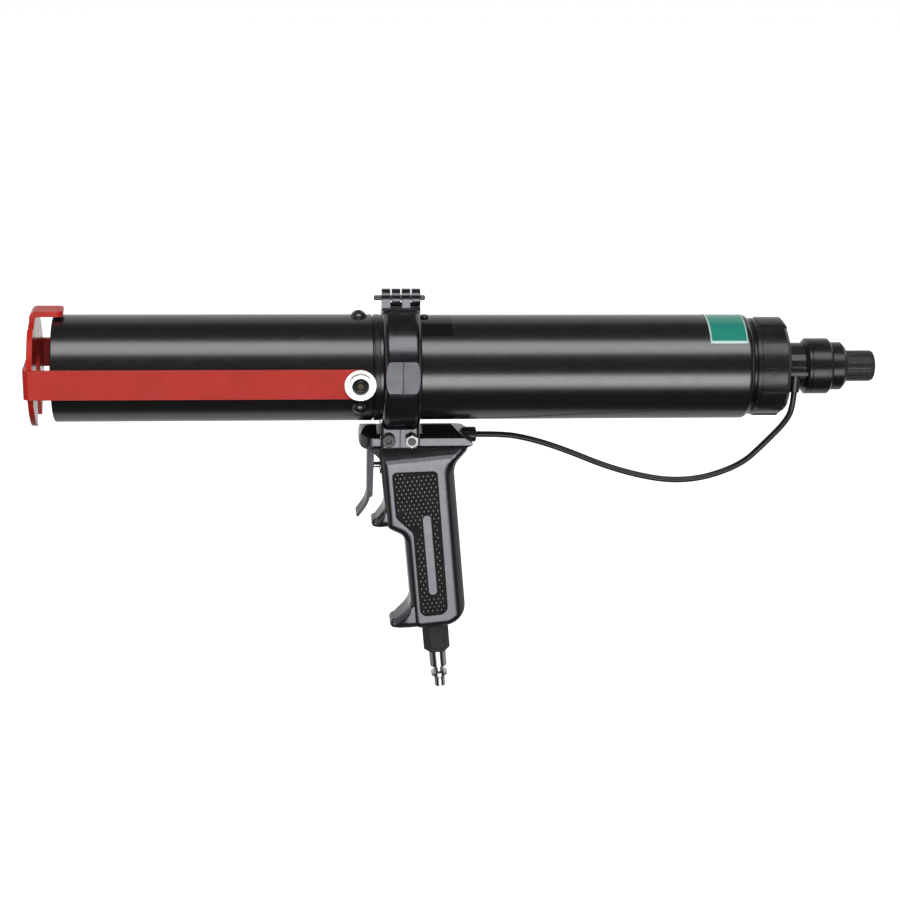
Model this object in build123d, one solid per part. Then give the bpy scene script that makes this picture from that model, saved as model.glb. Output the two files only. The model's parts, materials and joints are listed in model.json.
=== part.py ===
from build123d import *
from math import atan2, cos, radians, sin, sqrt, tan
import os

# Pneumatic caulking gun. The barrel lies along X with its front at -X, its near side at -Y, and Z up.
# The origin is on the barrel's axis, at the seat of the cartridge chamber. Sizes are in millimetres.

# Clearances
fit_gap = 0.1            # between pieces that are assembled and stay still
shaft_gap = 0.06         # between a shaft and the bore that guides it
run_gap = 0.35           # between pieces that move past each other
over = 1.0               # how far a cut reaches past the face it opens

# Cartridge barrel
tube_outer_r = 35.0
tube_wall = 2.0
chamber_length = 190.0
socket_depth = 16.0      # rear length of the barrel that slips over the front cap
socket_step = 0.5        # radial step that the front cap seats against
tube_edge = 0.6

# Button-head screws of the barrel and the pivots
pivot_x = 7.0
button_head_r = 5.45
button_head_height = 4.4
pivot_head_height = 2.6
button_shank_r = 2.5
button_socket_r = 1.75
button_socket_depth = 1.6
button_thread_length = 4.6
tube_screw_angles = (90, -30, 210)
pivot_angles = (0, 180)

# Front cap of the air cylinder
ring_gap = 0.9
ring_length = 3.6
tail_length = 11.5       # length of the front cap inside the air cylinder
recess_depth = 10.0      # pocket that the thrust disc rests in
o_ring_groove_depth = 2.2
o_ring_groove_width = 2.9

# Plunger
rod_r = 8.0
disc_r = 28.0
disc_thickness = 9.0
disc_stud_r = 5.0
disc_nut_flats = 15.0
disc_nut_height = 5.0
disc_edge = 1.0
nut_pocket_gap = 1.0
piston_thickness = 18.0
piston_stud_r = 6.0
piston_nut_flats = 18.0
piston_nut_height = 6.0
piston_seal_width = 5.0
piston_seal_depth = 4.0
bush_wall = 2.4
bush_lip = 2.0
rod_seal_wall = 4.0
rod_seal_width = 4.0

# Air cylinder
cylinder_step = 0.4      # radial step from the barrel down to the air cylinder
cylinder_wall = 2.0
cylinder_length = 245.2
roll_length = 4.4        # rear end of the cylinder that is rolled inwards
roll_drop = 3.0
breather_behind_clamp = 3.0
breather_angle = 86.0
breather_head_r = 2.6
breather_head_height = 1.8
breather_shank_r = 1.5
breather_round = 1.2

# Rear cap
boss_length = 9.0        # length of the rear cap inside the cylinder
rear_seam = 2.2
rear_ring_length = 2.8
rear_ring_step = 2.4     # radial step from the cylinder down to the cap's ring
lobe_length = 19.4
lobe_step = 1.6          # radial step from the cylinder down to the lobes
lobe_depth = 1.3
lobe_count = 6
lobe_start_angle = 14.0
lobe_edge = 2.6
air_passage_r = 3.0

# Pressure regulator
neck_length = 13.6
neck_r = 15.7
neck_facets = 24
thread_r = 10.0
thread_length = 14.0
lock_ring_length = 4.1
lock_ring_front_r = 16.2
collar_r = 18.6
collar_length = 14.0
collar_wall = 3.4
collar_edge = 1.6
regulator_seam = 0.3
bonnet_r = 16.0
bonnet_length = 10.0
bonnet_edge = 2.4
bonnet_wall = 4.0
collar_ledge = 2.0       # inner ledge that clamps the diaphragm
diaphragm_thickness = 1.6
knob_r = 10.3
knob_length = 20.0
knob_flutes = 28
knob_flute_r = 0.55
knob_edge = 2.2
knob_edge_step = 0.7
knob_end_wall = 4.2
adjusting_screw_r = 4.0
adjusting_screw_reach = 8.0   # how far the screw stands into the collar
plate_thickness = 3.0
spring_plate_travel = 3.0
regulator_wire_r = 0.9
regulator_spring_r = 8.5
regulator_spring_turns = 4

# Hose fitting under the regulator's side lug
lug_width = 12.6
lug_reach = 23.5
lug_top = 2.5
lug_bottom = 0.0
lug_hole_inset = 4.0     # from the lug's outer face to the fitting's axis
lug_hole_back = 4.9      # from the lug's front face to the fitting's axis
regulator_fitting_r = 3.3
regulator_fitting_length = 11.9
regulator_thread_r = 2.2
regulator_thread_length = 1.8
lug_passage_r = 0.6
fitting_edge = 0.6

# Clamp
clamp_front_gap = 1.4    # from the air cylinder's front end to the clamp
clamp_width = 25.0
clamp_thickness = 6.7
clamp_edge = 4.6
ear_side_r = 2.2
hinge_base_rise = 1.4
hinge_base_lean = 1.3    # how far the base of the knuckles leans back to its top
clamp_split = 0.5        # half of the slit between the two halves
pad_angle = 7.0
pad_cut = 1.3
pad_line_width = 0.4
pad_line_length = 21.0
knuckle_count = 4
knuckle_r = 6.0
knuckle_gap = 1.0
hinge_rise = 5.9         # from the band's outside up to the hinge pin
hinge_pin_r = 1.65
hinge_pin_round = 1.0
hinge_pin_overhang_front = 5.1
hinge_pin_overhang_rear = 3.4
ear_thickness = 4.0
ear_height = 8.0         # from the handle's top face down to the end of the ears
ear_root = 2.2           # how far the ears run up into the band
bolt_r = 2.5
bolt_spacing = 15.2
bolt_drop = 2.4          # from the handle's top face down to the bolts
bolt_head_r = 4.4
bolt_head_height = 3.4
bolt_socket_r = 2.3
bolt_socket_depth = 2.0
bolt_edge = 0.4
bolt_nut_flats = 8.0
bolt_nut_height = 4.0
bolt_tip = 0.8

# Handle
handle_drop = 8.3        # from the air cylinder down to the handle's top face
slab_half_width = 15.5
slab_height = 9.4
slab_front = 26.9        # from the clamp's middle to the tip of the nose
slab_rear = 40.2         # from the clamp's middle to the rear edge of the top face
tip_reach = 9.5          # from the top face's rear edge back to the slab's tip
tip_drop = 6.0           # from the top face down to the slab's tip
tip_undercut = 6.0       # from the tip forward to the underside's rear edge
nose_r = 7.0
nose_under_r = 3.8
nose_web_half_width = 10.8
nose_web_lower_half_width = 7.9
nose_web_front = 2.2     # from the tip of the nose back to the web
nose_web_rise = 3.3      # how far the web runs up into the slab
nose_web_depth = 24.0    # from the handle's top face to the web's lower corner
nose_web_length = 11.0   # how far the web runs back into the grip
nose_web_r = 2.0
nose_plan_r = 11.0
slab_corner_r = 1.4
slab_under_rise = 2.6    # height of the bevel under the slab's sides
slab_under_depth = 1.6
roof_rise = 3.5          # from the handle's top face up to the ridge in front of and behind the clamp
roof_drop = 1.7          # from the handle's top face down to the roof's sides
roof_gap = 2.7           # from the clamp to the roof
ridge_half_width = 1.0
ear_pocket_depth = 3.6
ear_pocket_gap = 0.6
tongue_rise = 4.0
tongue_root = 2.0        # how far the tongue runs down into the slab
grip_rake = 5.7
grip_offset = 9.5        # from the clamp's middle to the grip frame's origin
grip_drop = 11.1         # from the handle's top face to the grip frame's origin
grip_half_width = 14.5
grip_front = 22.7
grip_lower_front = 11.3
grip_rear = 25.6
grip_length = 129.6
grip_root = 8.0          # how far the grip runs up into the slab
grip_corner_r = 6.2
grip_round = 5.6
neck_edge = 10.5         # from the grip frame's origin down to where the flat sides start
neck_round = 25.0
neck_angle = 38.0        # how far the sides turn in towards the slab, in degrees
rear_round = 8.4
round_steps = 6
nub_steps = 8            # sections of the guard and of the toe
nub_sweep = 0.6          # how hollow their upper sides are: 1 is straight
nub_round = 0.47         # corner radius of a section as a share of its height
nub_taper = 0.75         # how much the guard and the toe narrow towards their tips
tip_steps = 5            # sections that round off a tip
tip_turn = 78.0          # how far the rounding of a tip turns, in degrees
guard_top = 38.0
guard_bottom = 54.0
guard_tip = 6.0          # height of the guard's tip
guard_reach = 32.6
guard_root = 7.0         # how far the guard runs back into the grip
guard_half_width = 12.2
flare_height = 20.0      # from the grip's lower end up to where the toe starts to flare
flare_reach = 26.6
flare_rise = 7.5         # height of the toe's front
toe_half_width = 13.4
toe_root = 7.0           # how far the toe runs back into the grip
toe_lift = 0.5           # from the grip's lower end up to the toe's underside
front_step = 7.0         # height of the grip's step back below the guard
front_r = 7.6
heel_r = 15.0
web_reach = 13.9         # how far the grip reaches back at its top
web_top = 1.0
web_depth = 14.5         # from the grip frame's origin down to the hollow for the hand's web
web_r = 14.0

# Side panels of the grip
panel_depth = 1.2
panel_front = 16.0
panel_lower_front = 5.4
panel_rear = 14.2
panel_top = 13.5
panel_step = 46.0        # where the panel's front edge starts to slant back
panel_step_end = 58.0
panel_margin = 10.1      # from the grip's lower end up to the panel
panel_fall = 2.0         # how much the panel's top edge falls towards the rear
panel_taper = 0.8
panel_corner_r = 3.0
panel_heel_r = 6.0
panel_toe_r = 5.0
stripe_centre = 4.5
stripe_start = 46.2
stripe_margin = 25.4     # from the grip's lower end up to the stripe
stripe_width = 5.6
stripe_end_r = 2.7

# Trigger and its valve
trigger_pin_r = 1.6
trigger_pin_inset = 1.0  # from the handle's sides to the pin's ends
trigger_pin_back = 7.0   # from the tip of the nose to the pin
trigger_pin_drop = 8.2   # from the handle's top face to the pin
trigger_front = 1.2      # from the pin forward to the trigger's front face
trigger_half_width = 7.0
trigger_sheet = 2.4
trigger_edge = 0.4
trigger_flange_depth = 4.6
trigger_flange_taper = 0.8
trigger_flange_wall = 1.7
trigger_flange_inset = 0.2
trigger_flange_r = 2.0
trigger_eye_r = 3.3
trigger_length = 40.5
trigger_flange_length = 37.0
trigger_tip_forward = 7.4
trigger_tip_drop = 10.4
trigger_tip_sheet = 1.7
trigger_tip_r = 0.6
trigger_bend_r = 22.0
valve_drop = 17.0        # from the trigger's pin down to the valve's axis
valve_bore_r = 6.0
valve_body_length = 16.0
valve_body_proud = 0.8
valve_groove_depth = 1.2
valve_groove_width = 1.5
valve_seal_places = (4.8, 12.0)   # from the valve's mouth
valve_chamber_length = 18.0
stem_r = 2.0
stem_edge = 0.5
poppet_r = 4.2
poppet_thickness = 3.0
stem_seal_thickness = 1.2
valve_wire_r = 0.5
valve_spring_r = 3.4
valve_spring_turns = 5

# Hose fitting on the handle
outlet_drop = 4.1        # from the handle's top face to the fitting's axis
outlet_r = 5.1
outlet_length = 9.2
outlet_thread_r = 3.2
outlet_thread_length = 10.0
outlet_bore_r = 1.2
outlet_bore_end = 3.0    # from the bore's end to the fitting's outer face
outlet_end = 51.5        # from the clamp's middle to the end of the fitting

# Air inlet
inlet_thread_r = 6.6
inlet_thread_length = 12.0
inlet_centre = 4.3       # across the grip, from the grip frame's axis
inlet_hex_flats = 15.6
inlet_hex_length = 19.6
hex_turn = 30.0
inlet_seal_thickness = 0.8
inlet_seal_width = 1.6
plug_shoulder_r = 6.0
plug_shoulder_length = 12.4
plug_neck_r = 3.6
plug_neck_length = 5.0
plug_collar_r = 5.65
plug_collar_length = 2.6
plug_groove_r = 3.3
plug_groove_length = 1.6
plug_tip_r = 3.75
plug_tip_length = 6.3
plug_bore_r = 2.4
plug_thread_r = 4.6
plug_thread_length = 8.0

# Retainer
arm_gap = 1.2            # between the barrel and the strap's arms
strap_thickness = 2.5
strap_height = 19.3
strap_bend_r = 4.2
plate_gap = 10.8         # room for the cartridge's flange
plate_thick = 3.7
plate_r = 37.5
plate_top_r = 34.7
plate_top_angle = 32.0   # half of the sector that is cut back beside the lip, in degrees
slot_width = 24.0
lip_width = 15.0
lip_overlap = 7.0        # how far the lip reaches back over the barrel
lip_rise = 1.4           # between the barrel and the lip
lip_bend_r = 2.2
lip_corner = 4.0
lip_root = 6.0           # how far the lip runs down into the plate
lip_edge = 0.8
lip_outer_bend_r = 4.4

# Pivot bushes
bush_sleeve_r = 6.2
bush_flange_r = 10.2
bush_flange_thickness = 1.4
bush_hub_r = 7.8
bush_hub_height = 3.0
bush_floor = 1.2

# Hose
hose_r = 2.0
hose_first_run = 15.0
hose_last_run = 9.0
hose_points = [
    (115.5, -2.2, -47.8),
    (140.0, -6.0, -53.8),
    (181.5, -12.5, -69.6),
    (223.9, -18.0, -76.3),
    (261.0, -21.3, -64.3),
    (279.2, -22.2, -45.0),
    (292.1, -20.9, -31.0),
]
hose_bend_share = 0.45

# Places along the barrel
tube_inner_r = tube_outer_r - tube_wall
socket_r = tube_inner_r + socket_step
spigot_r = socket_r - fit_gap
ring_front = socket_depth + ring_gap
ring_rear = ring_front + ring_length
cylinder_front = ring_rear + fit_gap
cylinder_rear = cylinder_front + cylinder_length
cylinder_outer_r = tube_outer_r - cylinder_step
cylinder_inner_r = cylinder_outer_r - cylinder_wall
tail_r = cylinder_inner_r - fit_gap
tail_rear = ring_rear + tail_length
neck_inner_r = cylinder_inner_r - roll_drop
roll_front = cylinder_rear - roll_length
neck_front = cylinder_rear - roll_length + roll_drop / 2
boss_r = neck_inner_r - fit_gap
boss_front = cylinder_rear - boss_length
piston_rear = boss_front - run_gap
piston_front = piston_rear - piston_thickness
recess_r = disc_r + 2 * run_gap
disc_rear = recess_depth - run_gap
disc_front = disc_rear - disc_thickness
rear_ring_r = cylinder_outer_r - rear_ring_step
lobe_r = cylinder_outer_r - lobe_step
ring_end = cylinder_rear + rear_seam + rear_ring_length
lobe_rear = ring_end + lobe_length
neck_rear = lobe_rear + neck_length
collar_front = neck_rear + lock_ring_length + regulator_seam
collar_rear = collar_front + collar_length
bonnet_rear = collar_rear + bonnet_length
knob_front = bonnet_rear + run_gap
knob_rear = knob_front + knob_length

# Places of the clamp and the handle
clamp_front = cylinder_front + clamp_front_gap
clamp_middle = clamp_front + clamp_width / 2
clamp_rear = clamp_front + clamp_width
clamp_inner_r = cylinder_outer_r + fit_gap
clamp_outer_r = clamp_inner_r + clamp_thickness
hinge_z = clamp_outer_r + hinge_rise
slab_top = -(cylinder_outer_r + handle_drop)
slab_bottom = slab_top - slab_height
tongue_half_width = slab_half_width - ear_pocket_depth
bolt_z = slab_top - bolt_drop
ear_inner_y = tongue_half_width + fit_gap
ear_outer_y = ear_inner_y + ear_thickness
grip_x = clamp_middle + grip_offset
flare_start = grip_length - flare_height
panel_bottom = grip_length - panel_margin
stripe_end = grip_length - stripe_margin
nose_x = clamp_middle - slab_front
trigger_pin_x = nose_x + trigger_pin_back
trigger_pin_z = slab_top - trigger_pin_drop
valve_z = trigger_pin_z - valve_drop
web_back_x = trigger_pin_x - trigger_front + trigger_sheet
outlet_z = slab_top - outlet_drop
outlet_rear = clamp_middle + outlet_end

# Places of the retainer
arm_inner_y = tube_outer_r + arm_gap
arm_outer_y = arm_inner_y + strap_thickness
plate_rear = -chamber_length - plate_gap
plate_front = plate_rear - plate_thick
strap_front = plate_front - strap_thickness
strap_inner_bend_r = strap_bend_r - strap_thickness

# How a box lies about its place
standing = (Align.CENTER, Align.CENTER, Align.MIN)
hanging = (Align.CENTER, Align.CENTER, Align.MAX)


def turned(*points):
    """Solid of revolution about the barrel's axis, from (x, radius) points."""
    return revolve(make_face(Polyline(*points, close=True)), Axis.X)


def disc_x(radius, start, end):
    """Cylinder on the barrel's axis from start to end."""
    return Pos((start + end) / 2, 0, 0) * Rot(0, 90, 0) * Cylinder(radius, end - start)


def ring_x(outer_r, inner_r, start, end):
    """Ring on the barrel's axis."""
    return disc_x(outer_r, start, end) - disc_x(inner_r, start - over, end + over)


def rod_between(start, end, radius):
    """Cylinder between two points."""
    a = Vector(*start)
    b = Vector(*end)
    plane = Plane(origin=a, z_dir=b - a)
    return extrude(plane * Circle(radius), (b - a).length)


def radial_plane(x, angle):
    """Plane on the barrel's axis whose normal points out at an angle above the near side."""
    return Plane(origin=(x, 0, 0), x_dir=(1, 0, 0), z_dir=(0, -cos(radians(angle)), sin(radians(angle))))


def hex_bar(flats, length):
    """Hexagonal bar that starts at z = 0."""
    return extrude(RegularPolygon(flats / sqrt(3), 6), length)


def o_ring(x, outer_r, inner_r):
    """Round sealing ring on the barrel's axis, between two radii."""
    middle_r = (outer_r + inner_r) / 2
    section_r = (outer_r - inner_r) / 2 - fit_gap / 2
    return Pos(x, 0, 0) * Rot(0, 90, 0) * Torus(middle_r, section_r)


def coil(x, length, radius, wire_r, turns):
    """Coil spring along X that starts at x."""
    rise = length - 2 * wire_r
    path = Helix(rise / turns, rise, radius)
    wire = sweep(Plane(origin=path @ 0, z_dir=path % 0) * Circle(wire_r), path=path)
    return Pos(x + wire_r, 0, 0) * Rot(0, 90, 0) * wire


def button_screw(thread_length, head_height):
    """Button-head screw along Z, with its head above z = 0."""
    ball_r = (button_head_r ** 2 + head_height ** 2) / (2 * head_height)
    head = Pos(0, 0, head_height - ball_r) * Sphere(ball_r)
    head &= extrude(Circle(button_head_r + over), head_height)
    socket = hex_bar(button_socket_r * sqrt(3), button_socket_depth + over)
    head -= Pos(0, 0, head_height - button_socket_depth) * socket
    return head + Pos(0, 0, -thread_length / 2) * Cylinder(button_shank_r, thread_length)


def grip_point(across, down):
    """Point of the side view (x, z) from the grip's own raked frame."""
    lean = radians(grip_rake)
    x = grip_x + across * cos(lean) + down * sin(lean)
    z = slab_top - grip_drop + across * sin(lean) - down * cos(lean)
    return (x, z)


def side_face(corners):
    """Face in the XZ plane from ((x, z), radius) corners, rounded where a radius is given."""
    points = [corner for corner, radius in corners]
    radii = [radius for corner, radius in corners]
    outline = FilletPolyline(*points, radius=radii, close=True)
    return Plane.XZ * make_face(outline)


def centred_extrude(face, half_width):
    """Solid on both sides of the XZ plane."""
    return extrude(face, half_width, both=True)


def edges_at_side(solid, half_width):
    """Edges of a solid's two side faces."""
    return [edge for edge in solid.edges() if abs(abs(edge.center().Y) - half_width) < 0.01]


# Cartridge barrel with its front cap

def screw_seat_r():
    """Radius of the flat under a button head on the barrel."""
    return sqrt(tube_outer_r ** 2 - button_head_r ** 2)


def make_cartridge_tube():
    tube = turned(
        (-chamber_length, tube_inner_r),
        (-chamber_length, tube_outer_r - tube_edge),
        (-chamber_length + tube_edge, tube_outer_r),
        (socket_depth - tube_edge, tube_outer_r),
        (socket_depth, tube_outer_r - tube_edge),
        (socket_depth, socket_r),
        (0, socket_r),
        (0, tube_inner_r),
    )
    for angle in tube_screw_angles:
        plane = radial_plane(pivot_x, angle)
        tube -= extrude(plane.offset(screw_seat_r()) * Circle(button_head_r + fit_gap), tube_wall)
    for angle in (*tube_screw_angles, *pivot_angles):
        hole = radial_plane(pivot_x, angle).offset(spigot_r - over) * Circle(button_shank_r + fit_gap)
        tube -= extrude(hole, tube_wall + over)
    return tube


def make_front_cap():
    seal_front = tail_rear - rod_seal_width
    bush_front = recess_depth + bush_lip
    cap = turned(
        (0, recess_r),
        (0, spigot_r),
        (ring_front, spigot_r),
        (ring_front, tube_outer_r),
        (ring_rear, tube_outer_r),
        (ring_rear, tail_r),
        (tail_rear, tail_r),
        (tail_rear, rod_r + rod_seal_wall),
        (seal_front, rod_r + rod_seal_wall),
        (seal_front, rod_r + bush_wall),
        (bush_front, rod_r + bush_wall),
        (bush_front, rod_r + 2 * run_gap),
        (recess_depth, rod_r + 2 * run_gap),
        (recess_depth, recess_r),
    )
    groove_middle = ring_rear + tail_length / 2
    groove_half = o_ring_groove_width / 2
    floor_r = tail_r - o_ring_groove_depth
    cap -= ring_x(tail_r + over, floor_r, groove_middle - groove_half, groove_middle + groove_half)
    for angle in (*tube_screw_angles, *pivot_angles):
        hole = radial_plane(pivot_x, angle).offset(recess_r - over) * Circle(button_shank_r + fit_gap)
        cap -= extrude(hole, spigot_r - recess_r + 2 * over)
    return cap


def make_front_cap_seal():
    return o_ring(ring_rear + tail_length / 2, cylinder_inner_r, tail_r - o_ring_groove_depth)


def make_rod_bush():
    front = recess_depth + bush_lip
    rear = tail_rear - rod_seal_width
    return ring_x(rod_r + bush_wall - fit_gap, rod_r + shaft_gap, front, rear)


def make_rod_seal():
    front = tail_rear - rod_seal_width
    return ring_x(rod_r + rod_seal_wall - fit_gap, rod_r + shaft_gap, front, tail_rear)


def make_tube_screws():
    reach = screw_seat_r() - spigot_r + button_thread_length / 2
    return [radial_plane(pivot_x, angle).offset(screw_seat_r()) * button_screw(reach, button_head_height)
            for angle in tube_screw_angles]


# Pivots of the retainer

def bush_head_y():
    """Distance from the axis to the floor that the pivot screw's head sits on."""
    return arm_outer_y + run_gap + bush_floor


def make_pivot_bush(angle):
    base = tube_outer_r + fit_gap
    flange_base = arm_outer_y + run_gap
    hub_top = flange_base + bush_flange_thickness + bush_hub_height
    plane = radial_plane(pivot_x, angle)
    bush = extrude(plane.offset(base) * Circle(bush_sleeve_r), flange_base - base)
    bush += extrude(plane.offset(flange_base) * Circle(bush_flange_r), bush_flange_thickness)
    bush += extrude(plane.offset(flange_base) * Circle(bush_hub_r), bush_flange_thickness + bush_hub_height)
    bush -= extrude(plane.offset(bush_head_y()) * Circle(button_head_r + fit_gap), hub_top)
    bush -= extrude(plane * Circle(button_shank_r + fit_gap), hub_top)
    return bush


def make_pivot_screw(angle):
    reach = bush_head_y() - spigot_r + button_thread_length / 2
    return radial_plane(pivot_x, angle).offset(bush_head_y()) * button_screw(reach, pivot_head_height)


# Plunger

def make_piston():
    nut_pocket = piston_rear - piston_nut_height - fit_gap
    seal_middle = (piston_front + piston_rear) / 2
    piston = turned(
        (piston_front, piston_stud_r + fit_gap),
        (piston_front, cylinder_inner_r - run_gap),
        (piston_rear, cylinder_inner_r - run_gap),
        (piston_rear, piston_nut_flats / sqrt(3) + nut_pocket_gap),
        (nut_pocket, piston_nut_flats / sqrt(3) + nut_pocket_gap),
        (nut_pocket, piston_stud_r + fit_gap),
    )
    half = piston_seal_width / 2 + fit_gap
    floor_r = cylinder_inner_r - run_gap - piston_seal_depth
    return piston - ring_x(cylinder_inner_r, floor_r, seal_middle - half, seal_middle + half)


def make_piston_seal():
    middle = (piston_front + piston_rear) / 2
    half = piston_seal_width / 2
    floor_r = cylinder_inner_r - run_gap - piston_seal_depth + fit_gap
    return ring_x(cylinder_inner_r - shaft_gap, floor_r, middle - half, middle + half)


def make_piston_rod():
    stud_front = disc_rear - disc_thickness + fit_gap
    return turned(
        (stud_front, 0),
        (stud_front, disc_stud_r),
        (disc_rear + fit_gap, disc_stud_r),
        (disc_rear + fit_gap, rod_r),
        (piston_front - fit_gap, rod_r),
        (piston_front - fit_gap, piston_stud_r),
        (piston_rear - fit_gap, piston_stud_r),
        (piston_rear - fit_gap, 0),
    )


def make_thrust_disc():
    pocket = disc_front + disc_nut_height + fit_gap
    pocket_r = disc_nut_flats / sqrt(3) + nut_pocket_gap
    return turned(
        (disc_rear, disc_stud_r + fit_gap),
        (disc_rear, disc_r),
        (disc_front + disc_edge, disc_r),
        (disc_front, disc_r - disc_edge),
        (disc_front, pocket_r),
        (pocket, pocket_r),
        (pocket, disc_stud_r + fit_gap),
    )


def make_disc_nut():
    nut = Pos(disc_front, 0, 0) * Rot(0, 90, 0) * hex_bar(disc_nut_flats, disc_nut_height)
    return nut - disc_x(disc_stud_r + fit_gap, disc_front - over, disc_rear)


def make_piston_nut():
    start = piston_rear - piston_nut_height
    nut = Pos(start, 0, 0) * Rot(0, 90, 0) * hex_bar(piston_nut_flats, piston_nut_height)
    return nut - disc_x(piston_stud_r + fit_gap, piston_front, piston_rear + over)


# Air cylinder and its rear cap

def breather_plane():
    return radial_plane(clamp_rear + breather_behind_clamp, breather_angle)


def make_air_cylinder():
    outer_end_r = cylinder_outer_r - roll_drop
    straight = Polyline(
        (cylinder_rear, outer_end_r),
        (cylinder_rear, neck_inner_r),
        (neck_front, neck_inner_r),
        (roll_front - roll_drop / 2, cylinder_inner_r),
        (cylinder_front, cylinder_inner_r),
        (cylinder_front, cylinder_outer_r),
        (roll_front, cylinder_outer_r),
    )
    rolled = TangentArc((roll_front, cylinder_outer_r), (cylinder_rear, outer_end_r), tangent=(1, 0))
    cylinder = revolve(make_face([*straight.edges(), *rolled.edges()]), Axis.X)
    hole = breather_plane().offset(cylinder_inner_r - over) * Circle(breather_shank_r + fit_gap)
    return cylinder - extrude(hole, cylinder_wall + 2 * over)


def make_breather_plug():
    seat = breather_plane().offset(cylinder_outer_r + fit_gap)
    head = extrude(seat * Circle(breather_head_r), breather_head_height)
    head = fillet(head.edges().filter_by(GeomType.CIRCLE).sort_by(Axis.Z)[-1], breather_round)
    return head + extrude(seat * Circle(breather_shank_r), -(cylinder_wall - fit_gap))


def make_rear_cap():
    front = cylinder_rear + rear_seam
    base_r = lobe_r - lobe_depth
    cap = turned(
        (boss_front, 0),
        (boss_front, boss_r),
        (front, boss_r),
        (front, rear_ring_r),
        (ring_end, rear_ring_r),
        (ring_end, base_r),
        (lobe_rear - lobe_edge, base_r),
        (lobe_rear, base_r - lobe_edge),
        (lobe_rear, 0),
    )
    shell = turned(
        (ring_end, base_r - over),
        (ring_end, lobe_r),
        (lobe_rear - lobe_edge, lobe_r),
        (lobe_rear, lobe_r - lobe_edge),
        (lobe_rear, base_r - lobe_edge - over),
        (lobe_rear - lobe_edge, base_r - over),
    )
    sector = 360 / lobe_count / 2
    wedge_plane = Plane(origin=(ring_end - over, 0, 0), x_dir=(0, -1, 0), z_dir=(1, 0, 0))
    for index in range(lobe_count):
        start = radians(lobe_start_angle + index * 2 * sector)
        end = start + radians(sector)
        reach = 2 * lobe_r
        corners = [(0, 0)]
        corners += [(reach * cos(turn), -reach * sin(turn)) for turn in (start, end)]
        wedge = extrude(wedge_plane * make_face(Polyline(*corners, close=True)), lobe_length + 2 * over)
        cap += shell & wedge
    cap -= disc_x(thread_r + fit_gap, lobe_rear - thread_length - fit_gap, lobe_rear + over)
    cap -= disc_x(air_passage_r, boss_front - over, lobe_rear)
    seal_x = (neck_front + cylinder_rear) / 2
    half = o_ring_groove_width / 2
    return cap - ring_x(boss_r + over, boss_r - o_ring_groove_depth, seal_x - half, seal_x + half)


def make_rear_cap_seal():
    return o_ring((neck_front + cylinder_rear) / 2, neck_inner_r, boss_r - o_ring_groove_depth)


# Pressure regulator

def lug_hole_x():
    return lobe_rear + regulator_seam + lug_hole_back


def make_regulator_body():
    flange_r = collar_r - collar_wall - fit_gap
    neck = Pos(lobe_rear + fit_gap, 0, 0) * Rot(0, 90, 0) * extrude(
        RegularPolygon(neck_r, neck_facets), neck_length - fit_gap)
    body = neck + disc_x(thread_r, lobe_rear - thread_length, lobe_rear + over)
    body += disc_x(flange_r, neck_rear - over, collar_front + regulator_seam)
    lug_height = lug_top - lug_bottom
    lug = Box(lug_width, lug_reach, lug_height, align=(Align.MIN, Align.MAX, Align.MIN))
    body += Pos(lobe_rear + regulator_seam, 0, lug_bottom) * lug
    hole_y = -lug_reach + lug_hole_inset
    body -= Pos(lug_hole_x(), hole_y, lug_bottom) * Cylinder(
        regulator_thread_r + fit_gap, 2 * (regulator_thread_length + fit_gap))
    passage_z = lug_bottom + regulator_thread_length - lug_passage_r
    body -= rod_between((lug_hole_x(), hole_y, passage_z), (lug_hole_x(), 0, passage_z), lug_passage_r)
    return body - disc_x(air_passage_r, lobe_rear - thread_length - over, collar_front + over)


def make_regulator_lock_ring():
    inner_r = collar_r - collar_wall
    return turned(
        (neck_rear, inner_r),
        (neck_rear, lock_ring_front_r),
        (neck_rear + lock_ring_length / 2, collar_r),
        (collar_front - regulator_seam, collar_r),
        (collar_front - regulator_seam, inner_r),
    )


def make_regulator_collar():
    inner_r = collar_r - collar_wall
    step = collar_front + regulator_seam + diaphragm_thickness + 2 * fit_gap
    bore_r = inner_r - collar_ledge
    return turned(
        (collar_front, inner_r),
        (collar_front, collar_r),
        (collar_rear - collar_edge, collar_r),
        (collar_rear, collar_r - collar_edge),
        (collar_rear, bore_r),
        (step, bore_r),
        (step, inner_r),
    )


def make_regulator_diaphragm():
    start = collar_front + regulator_seam + fit_gap
    return disc_x(collar_r - collar_wall - fit_gap, start, start + diaphragm_thickness)


def make_regulator_bonnet():
    bore_r = collar_r - collar_wall - collar_ledge
    ledge = collar_rear + bonnet_wall
    return turned(
        (collar_rear + fit_gap, bore_r),
        (collar_rear + fit_gap, bonnet_r),
        (bonnet_rear - bonnet_edge, bonnet_r),
        (bonnet_rear, bonnet_r - bonnet_edge),
        (bonnet_rear, adjusting_screw_r + shaft_gap),
        (ledge, adjusting_screw_r + shaft_gap),
        (ledge, bore_r),
    )


def make_regulator_knob():
    knob = turned(
        (knob_front, 0),
        (knob_front, knob_r),
        (knob_rear - knob_edge, knob_r),
        (knob_rear - knob_edge_step, knob_r - knob_edge_step),
        (knob_rear, knob_r - knob_edge),
        (knob_rear, 0),
    )
    for index in range(knob_flutes):
        turn = radians(index * 360 / knob_flutes)
        start = (knob_front - over, knob_r * cos(turn), knob_r * sin(turn))
        end = (knob_rear + over, knob_r * cos(turn), knob_r * sin(turn))
        knob -= rod_between(start, end, knob_flute_r)
    return knob - disc_x(adjusting_screw_r + fit_gap, knob_front - over, knob_rear - knob_end_wall)


def screw_front():
    return collar_rear - adjusting_screw_reach


def make_adjusting_screw():
    return disc_x(adjusting_screw_r, screw_front(), knob_rear - knob_end_wall - fit_gap)


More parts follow.
